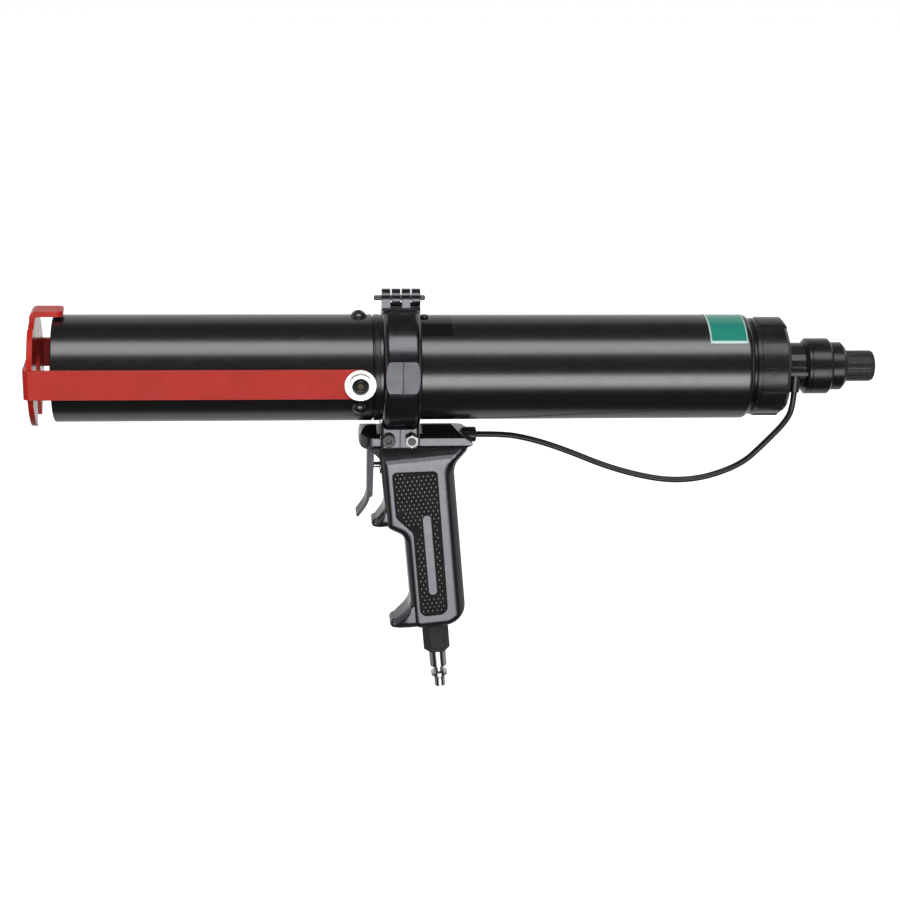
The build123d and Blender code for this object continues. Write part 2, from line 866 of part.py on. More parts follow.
def plate_start():
    """Front face of the spring plate when the spring is slack."""
    return screw_front() + spring_plate_travel + run_gap


def make_spring_plate():
    outer_r = collar_r - collar_wall - collar_ledge - run_gap
    return ring_x(outer_r, adjusting_screw_r + shaft_gap, plate_start(), plate_start() + plate_thickness)


def make_regulator_spring():
    start = collar_front + regulator_seam + diaphragm_thickness + 2 * fit_gap
    length = plate_start() - start - fit_gap
    return coil(start, length, regulator_spring_r, regulator_wire_r, regulator_spring_turns)


def make_regulator_fitting():
    y = -lug_reach + lug_hole_inset
    body_top = lug_bottom - fit_gap
    body = Pos(lug_hole_x(), y, body_top - regulator_fitting_length / 2) * Cylinder(
        regulator_fitting_r, regulator_fitting_length)
    body = fillet(body.edges().sort_by(Axis.Z)[0], fitting_edge)
    thread_height = regulator_thread_length + fit_gap
    body += Pos(lug_hole_x(), y, body_top + thread_height / 2) * Cylinder(regulator_thread_r, thread_height)
    return body


# Clamp

def knuckle_span(index):
    """Start and end of one of the hinge's knuckles."""
    pitch = (clamp_width + knuckle_gap) / knuckle_count
    start = clamp_front + index * pitch
    return start, start + pitch - knuckle_gap


def hinge_disc(radius, start, end):
    """Cylinder on the axis of the clamp's hinge."""
    return Pos(0, 0, hinge_z) * disc_x(radius, start, end)


def make_clamp_half(side):
    """Half of the clamp; side is -1 for the near half and 1 for the far half."""
    band = ring_x(clamp_outer_r, clamp_inner_r, clamp_front, clamp_rear)
    outer_edges = band.edges().filter_by(GeomType.CIRCLE).group_by(SortBy.RADIUS)[-1]
    band = fillet(outer_edges, clamp_edge)
    outward = (Align.CENTER, Align.MIN, Align.CENTER)
    block = Box(2 * clamp_width, 2 * clamp_outer_r, 3 * clamp_outer_r, align=outward)
    half_space = Pos(clamp_middle, clamp_split, 0) * block
    half = band & (half_space if side > 0 else mirror(half_space, Plane.XZ))

    pad_plane = radial_plane(clamp_middle, pad_angle if side < 0 else 180 - pad_angle)
    pad_box = Pos(0, 0, clamp_outer_r) * Box(2 * clamp_width, clamp_outer_r, 2 * pad_cut)
    half -= pad_plane.location * pad_box
    line = Box(pad_line_width, pad_line_length, 2 * pad_line_width)
    half -= pad_plane.location * Pos(0, 0, clamp_outer_r - pad_cut) * line

    ear_top = -clamp_inner_r + ear_root
    ear_bottom = slab_top - ear_height
    ear = Box(clamp_width, ear_thickness, ear_top - ear_bottom, align=standing)
    ear = Pos(clamp_middle, side * (ear_inner_y + ear_outer_y) / 2, ear_bottom) * ear
    outer_face = ear.faces().sort_by(Axis.Y)[0 if side < 0 else -1]
    ear = fillet(outer_face.edges().filter_by(Axis.Z), ear_side_r)
    ear -= disc_x(clamp_inner_r + clamp_thickness / 2, clamp_front - over, clamp_rear + over)
    seam = Box(pad_line_width, 2 * pad_line_width, 2 * ear_height)
    ear -= Pos(clamp_middle, side * ear_outer_y, slab_top) * seam
    half += ear
    room = Box(2 * clamp_width, 2 * ear_inner_y, clamp_outer_r, align=hanging)
    half -= Pos(clamp_middle, 0, slab_top + tongue_rise + fit_gap) * room
    for offset in (-bolt_spacing / 2, bolt_spacing / 2):
        hole = Rot(90, 0, 0) * Cylinder(bolt_r + fit_gap, 4 * ear_outer_y)
        half -= Pos(clamp_middle + offset, 0, bolt_z) * hole

    base_top = clamp_outer_r + hinge_base_rise
    base_reach = clamp_split + knuckle_r
    base = make_face(Polyline(
        (side * clamp_split, clamp_inner_r),
        (side * base_reach, clamp_inner_r),
        (side * base_reach, clamp_outer_r - hinge_base_rise),
        (side * (base_reach - hinge_base_lean), base_top),
        (side * clamp_split, base_top),
        close=True,
    ))
    half += Pos(clamp_middle, 0, 0) * extrude(Plane.YZ * base, clamp_width / 2, both=True)
    spans = [knuckle_span(index) for index in range(knuckle_count)]
    own = spans[0::2] if side < 0 else spans[1::2]
    other = spans[1::2] if side < 0 else spans[0::2]
    for start, end in other:
        half -= hinge_disc(knuckle_r + run_gap, start - knuckle_gap, end + knuckle_gap)
    for start, end in own:
        from_start = (Align.MIN, Align.CENTER, Align.MAX)
        web = Box(end - start, knuckle_r, hinge_z - base_top + over, align=from_start)
        half += Pos(start, side * knuckle_r / 2, hinge_z) * web
        half += hinge_disc(knuckle_r, start, end)
    half -= hinge_disc(hinge_pin_r + shaft_gap, clamp_front - over, clamp_rear + over)
    return half - disc_x(clamp_inner_r, clamp_front - over, clamp_rear + over)


def make_clamp_hinge_pin():
    start = clamp_front - hinge_pin_overhang_front
    end = clamp_rear + hinge_pin_overhang_rear
    pin = disc_x(hinge_pin_r, start, end)
    pin = fillet(pin.edges().filter_by(GeomType.CIRCLE), hinge_pin_round)
    return Pos(0, 0, hinge_z) * pin


def make_clamp_bolt(side):
    """Bolt whose head is on the given side."""
    x = clamp_middle + side * bolt_spacing / 2
    shank = 2 * ear_outer_y + bolt_nut_height + bolt_tip
    bolt = extrude(Circle(bolt_head_r), bolt_head_height)
    bolt = chamfer(bolt.edges().filter_by(GeomType.CIRCLE).sort_by(Axis.Z)[-1], bolt_edge)
    socket = hex_bar(bolt_socket_r * sqrt(3), bolt_head_height)
    bolt -= Pos(0, 0, bolt_head_height - bolt_socket_depth) * socket
    bolt += Pos(0, 0, -shank / 2) * Cylinder(bolt_r, shank)
    plane = Plane(origin=(x, side * (ear_outer_y + fit_gap), bolt_z), x_dir=(1, 0, 0), z_dir=(0, side, 0))
    return plane * bolt


def make_clamp_nut(side):
    """Nut of the bolt whose head is on the given side."""
    x = clamp_middle + side * bolt_spacing / 2
    nut = hex_bar(bolt_nut_flats, bolt_nut_height)
    nut -= Cylinder(bolt_r + fit_gap, 4 * bolt_nut_height)
    plane = Plane(origin=(x, -side * (ear_outer_y + fit_gap), bolt_z), x_dir=(0, 0, 1), z_dir=(0, -side, 0))
    return plane * nut


# Handle

def rounded_tower(front_x, base_z, half_width, corner_r, height):
    """Upright block whose two front edges are rounded; it stands as far below its base as above it."""
    length = slab_front + slab_rear + 2 * tip_reach
    plan = Rectangle(length, 2 * half_width, align=(Align.MIN, Align.CENTER))
    plan = fillet(plan.vertices().group_by(Axis.X)[0], corner_r)
    return extrude(Pos(front_x, 0, base_z) * plan, 2 * height, both=True)


def slab_section():
    """Section of the slab across the gun: beveled under its sides, with a roof that falls to both sides."""
    half = [
        (slab_half_width - slab_under_depth, slab_bottom),
        (slab_half_width, slab_bottom + slab_under_rise),
        (slab_half_width, slab_top - roof_drop),
        (ridge_half_width, slab_top + roof_rise),
    ]
    outline = half + [(-y, z) for y, z in reversed(half)]
    return Plane.YZ * make_face(Polyline(*outline, close=True))


def make_slab():
    top_rear = clamp_middle + slab_rear
    tip_x = top_rear + tip_reach
    ridge_rear = top_rear - roof_rise * tip_reach / tip_drop
    face = side_face([
        ((nose_x, slab_top + roof_rise), nose_r),
        ((ridge_rear, slab_top + roof_rise), slab_corner_r),
        ((tip_x, slab_top - tip_drop), slab_corner_r),
        ((tip_x - tip_undercut, slab_bottom), slab_corner_r),
        ((nose_x, slab_bottom), nose_under_r),
    ])
    slab = centred_extrude(face, slab_half_width) & extrude(slab_section(), tip_x + over)
    seat = Box(clamp_width + 2 * roof_gap, 2 * (slab_half_width + over), 2 * roof_rise, align=standing)
    slab -= Pos(clamp_middle, 0, slab_top) * seat
    return slab & rounded_tower(nose_x, slab_bottom, slab_half_width, nose_plan_r, slab_height)


def make_nose_web():
    """Web that carries the nose's underside down into the grip."""
    front = nose_x + nose_web_front
    rear = grip_point(-grip_front, 0)[0] + nose_web_length
    face = side_face([
        ((front, slab_bottom + nose_web_rise), nose_web_r),
        ((rear, slab_bottom + nose_web_rise), nose_web_r),
        ((rear - nose_web_length / 2, slab_top - nose_web_depth), nose_web_r),
    ])
    web = centred_extrude(face, nose_web_half_width)
    top = slab_bottom + nose_web_rise
    bottom = slab_top - nose_web_depth
    section = make_face(Polyline(
        (-nose_web_half_width, top),
        (nose_web_half_width, top),
        (nose_web_lower_half_width, bottom),
        (-nose_web_lower_half_width, bottom),
        close=True,
    ))
    return web & extrude(Plane.YZ * section, rear)


def rear_reach(down):
    """How far the grip's rear edge lies from its axis, with the hollow for the hand's web."""
    fall = web_depth - web_top
    bend = atan2(web_reach, fall)
    tangent = web_r * tan(bend / 2)
    if down >= web_depth + tangent:
        return grip_rear
    if down <= web_depth - tangent * cos(bend):
        return grip_rear + web_reach * (web_depth - max(down, web_top)) / fall
    return grip_rear + web_r - sqrt(web_r ** 2 - (web_depth + tangent - down) ** 2)


def envelope_face(down, half_width):
    """Section across the grip, rounded at its rear."""
    lean = radians(grip_rake)
    x, z = grip_point(0, down)
    plane = Plane(origin=(x, 0, z), x_dir=(cos(lean), 0, sin(lean)), z_dir=(sin(lean), 0, -cos(lean)))
    front = -grip_front - grip_round
    plan = Rectangle(rear_reach(down) - front, 2 * half_width, align=(Align.MIN, Align.CENTER))
    plan = fillet(plan.vertices().group_by(Axis.X)[-1], min(rear_round, half_width - over))
    return (plane * Pos(front, 0, 0) * plan).face()


def make_grip_envelope():
    """Rounds the grip off along its rear edge and towards the slab."""
    sections = []
    for step in range(round_steps + 1):
        angle = radians(neck_angle * (1 - step / round_steps))
        half_width = grip_half_width - neck_round * (1 - cos(angle))
        sections.append(envelope_face(neck_edge - neck_round * sin(angle), half_width))
    for step in range(1, round_steps + 1):
        down = neck_edge + (web_depth + web_r / 2 - neck_edge) * step / round_steps
        sections.append(envelope_face(down, grip_half_width))
    sections.append(envelope_face(grip_length + over, grip_half_width))
    return loft(sections, ruled=True)


def make_grip():
    face = side_face([
        (grip_point(-grip_front, -grip_root), grip_corner_r),
        (grip_point(-grip_front, guard_bottom), grip_corner_r),
        (grip_point(-grip_lower_front, guard_bottom + front_step), front_r),
        (grip_point(-grip_lower_front, grip_length), grip_corner_r),
        (grip_point(grip_rear, grip_length), heel_r),
        (grip_point(grip_rear, web_depth), web_r),
        (grip_point(grip_rear + web_reach, web_top), grip_corner_r),
        (grip_point(grip_rear, -grip_root), grip_corner_r),
    ])
    grip = centred_extrude(face, grip_half_width)
    grip = fillet(edges_at_side(grip, grip_half_width), grip_round)
    core = centred_extrude(face, grip_half_width - grip_round)
    return (grip & make_grip_envelope()) + core


def nub_section(across, top, bottom, half_width):
    """Rounded section of the guard or the toe, square to the grip's front."""
    lean = radians(grip_rake)
    height = bottom - top
    x, z = grip_point(across, top + height / 2)
    plane = Plane(origin=(x, 0, z), x_dir=(0, 1, 0), z_dir=(-cos(lean), 0, -sin(lean)))
    corner_r = min(grip_round, nub_round * height)
    return (plane * RectangleRounded(2 * half_width, height, corner_r)).face()


def tapered(half_width, share):
    """Half-width of the guard or the toe at a share of its reach."""
    return half_width * sqrt(1 - (nub_taper * share) ** 2)


def nub_tip(across, top, bottom, half_width):
    """Sections that round off the tip of the guard or the toe."""
    middle = (top + bottom) / 2
    tip_r = (bottom - top) / 2
    sections = []
    for step in range(1, tip_steps + 1):
        turn = radians(tip_turn * step / tip_steps)
        rise = tip_r * cos(turn)
        width = half_width - tip_r + rise
        sections.append(nub_section(across - tip_r * sin(turn), middle - rise, middle + rise, width))
    return sections


def make_toe():
    """Toe that flares out at the front of the grip's lower end."""
    root = -grip_lower_front + toe_root
    bottom = grip_length - toe_lift
    run = flare_reach - (flare_rise - toe_lift) / 2 - grip_lower_front
    sections = [nub_section(root, flare_start - toe_root, bottom, toe_half_width)]
    for step in range(nub_steps + 1):
        share = step / nub_steps
        across = -grip_lower_front - run * share
        top = flare_start + (flare_height - flare_rise) * share ** nub_sweep
        sections.append(nub_section(across, top, bottom, tapered(toe_half_width, share)))
    sections += nub_tip(across, top, bottom, tapered(toe_half_width, share))
    return loft(sections, ruled=True)


def make_guard():
    root = -grip_front + guard_root
    run = guard_reach - guard_tip / 2 - grip_front
    sections = [nub_section(root, guard_top, guard_bottom, guard_half_width)]
    for step in range(nub_steps + 1):
        share = step / nub_steps
        across = -grip_front - run * share
        top = guard_top + (guard_bottom - guard_tip - guard_top) * share ** nub_sweep
        sections.append(nub_section(across, top, guard_bottom, tapered(guard_half_width, share)))
    sections += nub_tip(across, top, guard_bottom, tapered(guard_half_width, share))
    return loft(sections, ruled=True)


def panel_face():
    return side_face([
        (grip_point(-panel_front, panel_top), panel_corner_r),
        (grip_point(panel_rear, panel_top + panel_fall), panel_corner_r),
        (grip_point(panel_rear - panel_taper, panel_bottom), panel_heel_r),
        (grip_point(-panel_lower_front, panel_bottom), panel_toe_r),
        (grip_point(-panel_lower_front, panel_step_end), panel_heel_r),
        (grip_point(-panel_front, panel_step), panel_heel_r),
    ])


def stripe_face():
    left = stripe_centre - stripe_width / 2
    right = stripe_centre + stripe_width / 2
    return side_face([
        (grip_point(left, stripe_start), stripe_end_r),
        (grip_point(right, stripe_start), stripe_end_r),
        (grip_point(right, stripe_end), stripe_end_r),
        (grip_point(left, stripe_end), stripe_end_r),
    ])


def inlet_plane(down):
    """Plane across the grip's axis at the inlet, facing down."""
    x, z = grip_point(inlet_centre, down)
    lean = radians(grip_rake)
    return Plane(origin=(x, 0, z), x_dir=(0, 1, 0), z_dir=(sin(lean), 0, -cos(lean)))


def valve_mouth():
    """Front face of the grip at the valve's height."""
    return grip_point(-grip_front, slab_top - grip_drop - valve_z)[0]


def valve_end():
    return valve_mouth() + valve_body_length + valve_chamber_length


def at_valve(shape):
    """Moves a shape from the barrel's axis to the valve's axis."""
    return Pos(0, 0, valve_z) * shape


def at_outlet(shape):
    """Moves a shape from the barrel's axis to the axis of the handle's hose fitting."""
    return Pos(0, 0, outlet_z) * shape


def make_handle():
    handle = make_slab() + make_nose_web() + make_grip() + make_guard() + make_toe()

    pocket_width = clamp_width + 2 * ear_pocket_gap
    pocket_bottom = slab_top - ear_height - ear_pocket_gap
    pocket = Box(pocket_width, 2 * ear_pocket_depth, 2 * slab_height, align=standing)
    for side in (-1, 1):
        handle -= Pos(clamp_middle, side * slab_half_width, pocket_bottom) * pocket
    tongue_height = tongue_rise + tongue_root
    tongue = Box(clamp_width, 2 * tongue_half_width, tongue_height, align=hanging)
    handle += Pos(clamp_middle, 0, slab_top + tongue_rise) * tongue
    bolt_hole = Rot(90, 0, 0) * Cylinder(bolt_r + fit_gap, 4 * slab_half_width)
    for offset in (-bolt_spacing / 2, bolt_spacing / 2):
        handle -= Pos(clamp_middle + offset, 0, bolt_z) * bolt_hole

    slot_top = trigger_pin_z + trigger_eye_r + 2 * run_gap
    slot_front = trigger_pin_x - trigger_eye_r - 2 * run_gap
    slot_rear = trigger_pin_x + trigger_flange_depth + 2 * run_gap
    slot = Box(slot_rear - slot_front, 2 * (trigger_half_width + run_gap), 2 * slab_height,
               align=(Align.MIN, Align.CENTER, Align.MAX))
    handle -= Pos(slot_front, 0, slot_top) * slot
    pin_hole = Rot(90, 0, 0) * Cylinder(trigger_pin_r + fit_gap, 3 * slab_half_width)
    handle -= Pos(trigger_pin_x, 0, trigger_pin_z) * pin_hole

    valve_middle = valve_mouth() + valve_body_length + valve_chamber_length / 2
    handle -= at_valve(disc_x(valve_bore_r + fit_gap, valve_mouth() - valve_bore_r, valve_end()))
    spot_face = outlet_rear - outlet_length - fit_gap
    thread_end = spot_face - outlet_thread_length
    handle -= at_outlet(disc_x(outlet_r + fit_gap, spot_face, outlet_rear + over))
    handle -= at_outlet(disc_x(outlet_thread_r + fit_gap, thread_end, outlet_rear))
    handle -= rod_between((valve_middle, 0, valve_z), (thread_end + over, 0, outlet_z), air_passage_r)

    inlet_depth = inlet_thread_length + fit_gap
    inlet_hole = inlet_plane(grip_length - inlet_depth) * Circle(inlet_thread_r + fit_gap)
    handle -= extrude(inlet_hole, inlet_depth + over)
    inlet_x, inlet_z = grip_point(inlet_centre, grip_length - inlet_thread_length)
    handle -= rod_between((inlet_x, 0, inlet_z), (valve_middle, 0, valve_z), air_passage_r)

    recess = extrude(panel_face() - stripe_face(), panel_depth, both=True)
    for side in (-1, 1):
        handle -= Pos(0, side * grip_half_width, 0) * recess
    return handle


# Trigger and its valve

def pin_circle(radius):
    """Circle across the trigger's pin."""
    return Plane(origin=(trigger_pin_x, 0, trigger_pin_z), z_dir=(0, -1, 0)) * Circle(radius)


def make_trigger():
    front_x = web_back_x - trigger_sheet
    bend_z = trigger_pin_z - trigger_length
    tip_x = front_x - trigger_tip_forward
    tip_z = bend_z - trigger_tip_drop
    web = side_face([
        ((front_x, trigger_pin_z), trigger_edge),
        ((web_back_x, trigger_pin_z), trigger_edge),
        ((web_back_x, bend_z), trigger_bend_r),
        ((tip_x + trigger_tip_sheet, tip_z - trigger_tip_sheet / 2), trigger_tip_r),
        ((tip_x, tip_z), trigger_tip_r),
        ((front_x, bend_z), trigger_bend_r - trigger_sheet),
    ])
    trigger = centred_extrude(web, trigger_half_width)
    flange_front = front_x + trigger_flange_inset
    flange_rear = front_x + trigger_flange_depth
    flange_bottom = trigger_pin_z - trigger_flange_length
    flange = side_face([
        ((flange_front, trigger_pin_z), trigger_edge),
        ((flange_rear, trigger_pin_z), trigger_edge),
        ((flange_rear - trigger_flange_taper, flange_bottom), trigger_flange_r),
        ((flange_front, flange_bottom - trigger_flange_r), trigger_edge),
    ])
    trigger += centred_extrude(flange, trigger_half_width) - centred_extrude(
        flange, trigger_half_width - trigger_flange_wall)
    trigger += extrude(pin_circle(trigger_eye_r), trigger_half_width, both=True)
    return trigger - extrude(pin_circle(trigger_pin_r + shaft_gap), 2 * trigger_half_width, both=True)


def make_trigger_pin():
    return extrude(pin_circle(trigger_pin_r), slab_half_width - trigger_pin_inset, both=True)


def make_valve_body():
    start = valve_mouth() - valve_body_proud
    end = valve_mouth() + valve_body_length
    body = ring_x(valve_bore_r, stem_r + shaft_gap, start, end)
    for place in valve_seal_places:
        x = valve_mouth() + place
        half = valve_groove_width / 2
        body -= ring_x(valve_bore_r + over, valve_bore_r - valve_groove_depth, x - half, x + half)
    return at_valve(body)


def make_valve_seals():
    floor_r = valve_bore_r - valve_groove_depth
    mouth = valve_mouth()
    outer_r = valve_bore_r + fit_gap
    return [at_valve(o_ring(mouth + place, outer_r, floor_r)) for place in valve_seal_places]


def stem_tip():
    return web_back_x + run_gap


def poppet_front():
    return valve_mouth() + valve_body_length + run_gap


def make_valve_stem():
    front = poppet_front() + stem_seal_thickness
    return at_valve(turned(
        (stem_tip(), 0),
        (stem_tip(), stem_r - stem_edge),
        (stem_tip() + stem_edge, stem_r),
        (front, stem_r),
        (front, poppet_r),
        (front + poppet_thickness, poppet_r),
        (front + poppet_thickness, 0),
    ))


def make_stem_seal():
    front = poppet_front()
    return at_valve(ring_x(poppet_r, stem_r + fit_gap, front, front + stem_seal_thickness))


def make_valve_spring():
    start = poppet_front() + stem_seal_thickness + poppet_thickness + fit_gap
    length = valve_end() - start - fit_gap
    return at_valve(coil(start, length, valve_spring_r, valve_wire_r, valve_spring_turns))


def make_outlet_fitting():
    front = outlet_rear - outlet_length
    thread_front = front - outlet_thread_length
    body = disc_x(outlet_r, front, outlet_rear)
    body = chamfer(body.edges().filter_by(GeomType.CIRCLE).sort_by(Axis.X)[-1], fitting_edge)
    body += disc_x(outlet_thread_r, thread_front, front + over)
    return at_outlet(body - disc_x(outlet_bore_r, thread_front - over, outlet_rear - outlet_bore_end))


# Air inlet

def make_inlet_seal():
    plane = inlet_plane(grip_length + fit_gap)
    face = Circle(inlet_thread_r + fit_gap + inlet_seal_width) - Circle(inlet_thread_r + fit_gap)
    return extrude(plane * face, inlet_seal_thickness)


def hex_start():
    return grip_length + 2 * fit_gap + inlet_seal_thickness


def make_inlet_bushing():
    hexagon = inlet_plane(hex_start()) * Rot(0, 0, hex_turn) * hex_bar(inlet_hex_flats, inlet_hex_length)
    stub_start = grip_length - inlet_thread_length + fit_gap
    stub = extrude(inlet_plane(stub_start) * Circle(inlet_thread_r), hex_start() - stub_start)
    bush = hexagon + stub
    passage = inlet_plane(stub_start - over) * Circle(air_passage_r)
    bush -= extrude(passage, inlet_hex_length + inlet_thread_length)
    socket_start = hex_start() + inlet_hex_length - plug_thread_length - fit_gap
    socket = inlet_plane(socket_start) * Circle(plug_thread_r + fit_gap)
    return bush - extrude(socket, plug_thread_length + over)


def make_air_plug():
    seat = hex_start() + inlet_hex_length + fit_gap
    sections = [
        (plug_shoulder_r, plug_shoulder_length),
        (plug_neck_r, plug_neck_length),
        (plug_collar_r, plug_collar_length),
        (plug_groove_r, plug_groove_length),
        (plug_tip_r, plug_tip_length),
    ]
    plug = extrude(inlet_plane(seat - plug_thread_length) * Circle(plug_thread_r), plug_thread_length)
    down = seat
    for radius, length in sections:
        plug += extrude(inlet_plane(down) * Circle(radius), length)
        down += length
    return plug - extrude(inlet_plane(seat - plug_thread_length - over) * Circle(plug_bore_r), down)


# Retainer

def bent_strap(front, half_width, bend_r):
    """Line of a strap that runs from one pivot round the front to the other."""
    corners = [(pivot_x, -half_width), (front, -half_width), (front, half_width), (pivot_x, half_width)]
    return FilletPolyline(*corners, radius=[bend_r, bend_r])


def make_retainer_arms():
    outer = bent_strap(strap_front, arm_outer_y, strap_bend_r)
    inner = bent_strap(plate_front, arm_inner_y, strap_inner_bend_r)
    ends = [Line((pivot_x, side * arm_outer_y), (pivot_x, side * arm_inner_y)) for side in (-1, 1)]
    strap = extrude(make_face([*outer.edges(), *inner.edges(), *ends]), strap_height / 2, both=True)
    for side in (-1, 1):
        plane = Plane(origin=(pivot_x, side * arm_inner_y, 0), z_dir=(0, side, 0))
        strap += extrude(plane * Circle(strap_height / 2), strap_thickness)
        strap -= extrude(plane * Circle(bush_sleeve_r + shaft_gap), 2 * strap_thickness, both=True)
    nozzle = Box(4 * strap_thickness, slot_width, 2 * strap_height)
    return strap - Pos(strap_front, 0, 0) * nozzle


def make_retainer_plate():
    plane = Plane(origin=(plate_front + fit_gap, 0, 0), x_dir=(0, 1, 0), z_dir=(1, 0, 0))
    thickness = plate_thick - fit_gap
    reach = 2 * plate_r * tan(radians(plate_top_angle))
    sector = make_face(Polyline((0, 0), (reach, 2 * plate_r), (-reach, 2 * plate_r), close=True))
    face = Circle(plate_r) - sector
    face += Circle(plate_top_r)
    face -= Circle(slot_width / 2)
    face -= Rectangle(slot_width, 2 * plate_r, align=(Align.CENTER, Align.MAX))
    for side in (-1, 1):
        notch = Rectangle(2 * strap_bend_r, strap_height + 2 * fit_gap, align=(Align.MIN, Align.CENTER))
        turn = 0 if side > 0 else 180
        face -= Pos(side * (arm_inner_y - strap_inner_bend_r), 0) * Rot(0, 0, turn) * notch
    plate = extrude(plane * face, thickness)
    lip_under = tube_outer_r + lip_rise
    lip_top = lip_under + plate_thick
    lip_end = -chamber_length + lip_overlap
    lip_face = side_face([
        ((plate_front + fit_gap, plate_top_r - lip_root), lip_edge),
        ((plate_front + fit_gap, lip_top), lip_outer_bend_r),
        ((lip_end, lip_top), lip_edge),
        ((lip_end, lip_under), lip_edge),
        ((plate_rear, lip_under), lip_bend_r),
        ((plate_rear, plate_top_r - lip_root), lip_edge),
    ])
    lip = centred_extrude(lip_face, lip_width / 2)
    plan = Rectangle(lip_end - plate_front, lip_width, align=(Align.MAX, Align.CENTER))
    plan = fillet(plan.vertices().group_by(Axis.X)[-1], lip_corner)
    lip &= extrude(Pos(lip_end, 0, 0) * plan, 2 * lip_top)
    return plate + lip


# Hose

def hose_route():
    start = (outlet_rear, 0, outlet_z)
    end_x = lug_hole_x()
    end_y = -lug_reach + lug_hole_inset
    end_z = lug_bottom - fit_gap - regulator_fitting_length
    first_bend = (outlet_rear + hose_first_run, 0, outlet_z)
    last_bend = (end_x, end_y, end_z - hose_last_run)
    return [start, first_bend, *hose_points, last_bend, (end_x, end_y, end_z)]


def make_air_hose():
    route = [Vector(*point) for point in hose_route()]
    radii = []
    for before, corner, after in zip(route, route[1:], route[2:]):
        turn = radians((corner - before).get_angle(after - corner))
        run = min((corner - before).length, (after - corner).length)
        radii.append(hose_bend_share * run / tan(turn / 2))
    path = FilletPolyline(*route, radius=radii)
    hose = sweep(Plane(origin=path @ 0, z_dir=path % 0) * Circle(hose_r), path=path)
    section = Circle(hose_r).area
    print("hose radii", [round(radius, 1) for radius in radii], "length", round(path.length, 1))
    print("hose volume over section times length", round(hose.volume / (path.length * section), 5))
    return hose


parts = {
    "cartridge_tube": make_cartridge_tube(),
    "front_cap": make_front_cap(),
    "front_cap_seal": make_front_cap_seal(),
    "rod_bush": make_rod_bush(),
    "rod_seal": make_rod_seal(),
    "tube_screws": make_tube_screws(),
    "pivot_bushes": [make_pivot_bush(angle) for angle in pivot_angles],
    "pivot_screws": [make_pivot_screw(angle) for angle in pivot_angles],
    "piston": make_piston(),
    "piston_seal": make_piston_seal(),
    "piston_rod": make_piston_rod(),
    "piston_nut": make_piston_nut(),
    "thrust_disc": make_thrust_disc(),
    "disc_nut": make_disc_nut(),
    "air_cylinder": make_air_cylinder(),
    "breather_plug": make_breather_plug(),
    "rear_cap": make_rear_cap(),
    "rear_cap_seal": make_rear_cap_seal(),
    "regulator_body": make_regulator_body(),
    "regulator_lock_ring": make_regulator_lock_ring(),
    "regulator_collar": make_regulator_collar(),
    "regulator_diaphragm": make_regulator_diaphragm(),
    "regulator_bonnet": make_regulator_bonnet(),
    "regulator_knob": make_regulator_knob(),
    "adjusting_screw": make_adjusting_screw(),
    "spring_plate": make_spring_plate(),
    "regulator_spring": make_regulator_spring(),
    "regulator_fitting": make_regulator_fitting(),
    "clamp_half_near": make_clamp_half(-1),
    "clamp_half_far": make_clamp_half(1),
    "clamp_hinge_pin": make_clamp_hinge_pin(),
    "clamp_bolts": [make_clamp_bolt(side) for side in (-1, 1)],
    "clamp_nuts": [make_clamp_nut(side) for side in (-1, 1)],
    "handle": make_handle(),
    "trigger": make_trigger(),
    "trigger_pin": make_trigger_pin(),
    "valve_body": make_valve_body(),
    "valve_seals": make_valve_seals(),
    "valve_stem": make_valve_stem(),
    "stem_seal": make_stem_seal(),
    "valve_spring": make_valve_spring(),
    "outlet_fitting": make_outlet_fitting(),
    "inlet_seal": make_inlet_seal(),
    "inlet_bushing": make_inlet_bushing(),
    "air_plug": make_air_plug(),
    "retainer_arms": make_retainer_arms(),
    "retainer_plate": make_retainer_plate(),
    "air_hose": make_air_hose(),
}

os.makedirs("parts", exist_ok=True)
for name, shape in parts.items():
    solids = shape if isinstance(shape, list) else [shape]
    children = [solid for item in solids for solid in item.solids()]
    export_step(Compound(children=children), f"parts/{name}.step")
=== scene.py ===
import json
import math
import bmesh
import bpy
from mathutils import Matrix, Vector


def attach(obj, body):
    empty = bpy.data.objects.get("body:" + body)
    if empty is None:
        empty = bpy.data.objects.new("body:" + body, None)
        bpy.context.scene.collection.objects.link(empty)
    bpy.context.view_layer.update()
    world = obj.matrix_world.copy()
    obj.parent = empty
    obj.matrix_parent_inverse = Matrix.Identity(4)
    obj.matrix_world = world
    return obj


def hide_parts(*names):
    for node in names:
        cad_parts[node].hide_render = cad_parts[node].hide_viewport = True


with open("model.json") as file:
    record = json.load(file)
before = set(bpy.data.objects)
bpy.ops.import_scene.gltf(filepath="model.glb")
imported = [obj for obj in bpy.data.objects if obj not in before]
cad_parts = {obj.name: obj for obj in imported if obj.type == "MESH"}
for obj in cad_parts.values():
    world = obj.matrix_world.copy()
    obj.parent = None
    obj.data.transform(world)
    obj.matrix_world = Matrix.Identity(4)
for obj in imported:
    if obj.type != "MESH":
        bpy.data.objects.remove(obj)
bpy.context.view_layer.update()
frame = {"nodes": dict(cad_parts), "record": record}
nodes = frame["nodes"]
scene = bpy.context.scene
scene.view_settings.view_transform = "Standard"

# A millimetre in metres, and half and full turns in degrees.
MM = 0.001
HALF_TURN = 180
FULL_TURN = 360

# The photograph's viewpoint: its place in metres in the row frame, its lens and sensor in mm.
CAMERA_PLACE = (-0.05103203, -1.31455606, 0.40440301)
CAMERA_RIGHT = (0.99628356, -0.08319288, 0.02231609)
CAMERA_FORWARD = (0.08588532, 0.9398142, -0.33071587)
CAMERA_LENS = 83.50793
CAMERA_SENSOR = 36.0

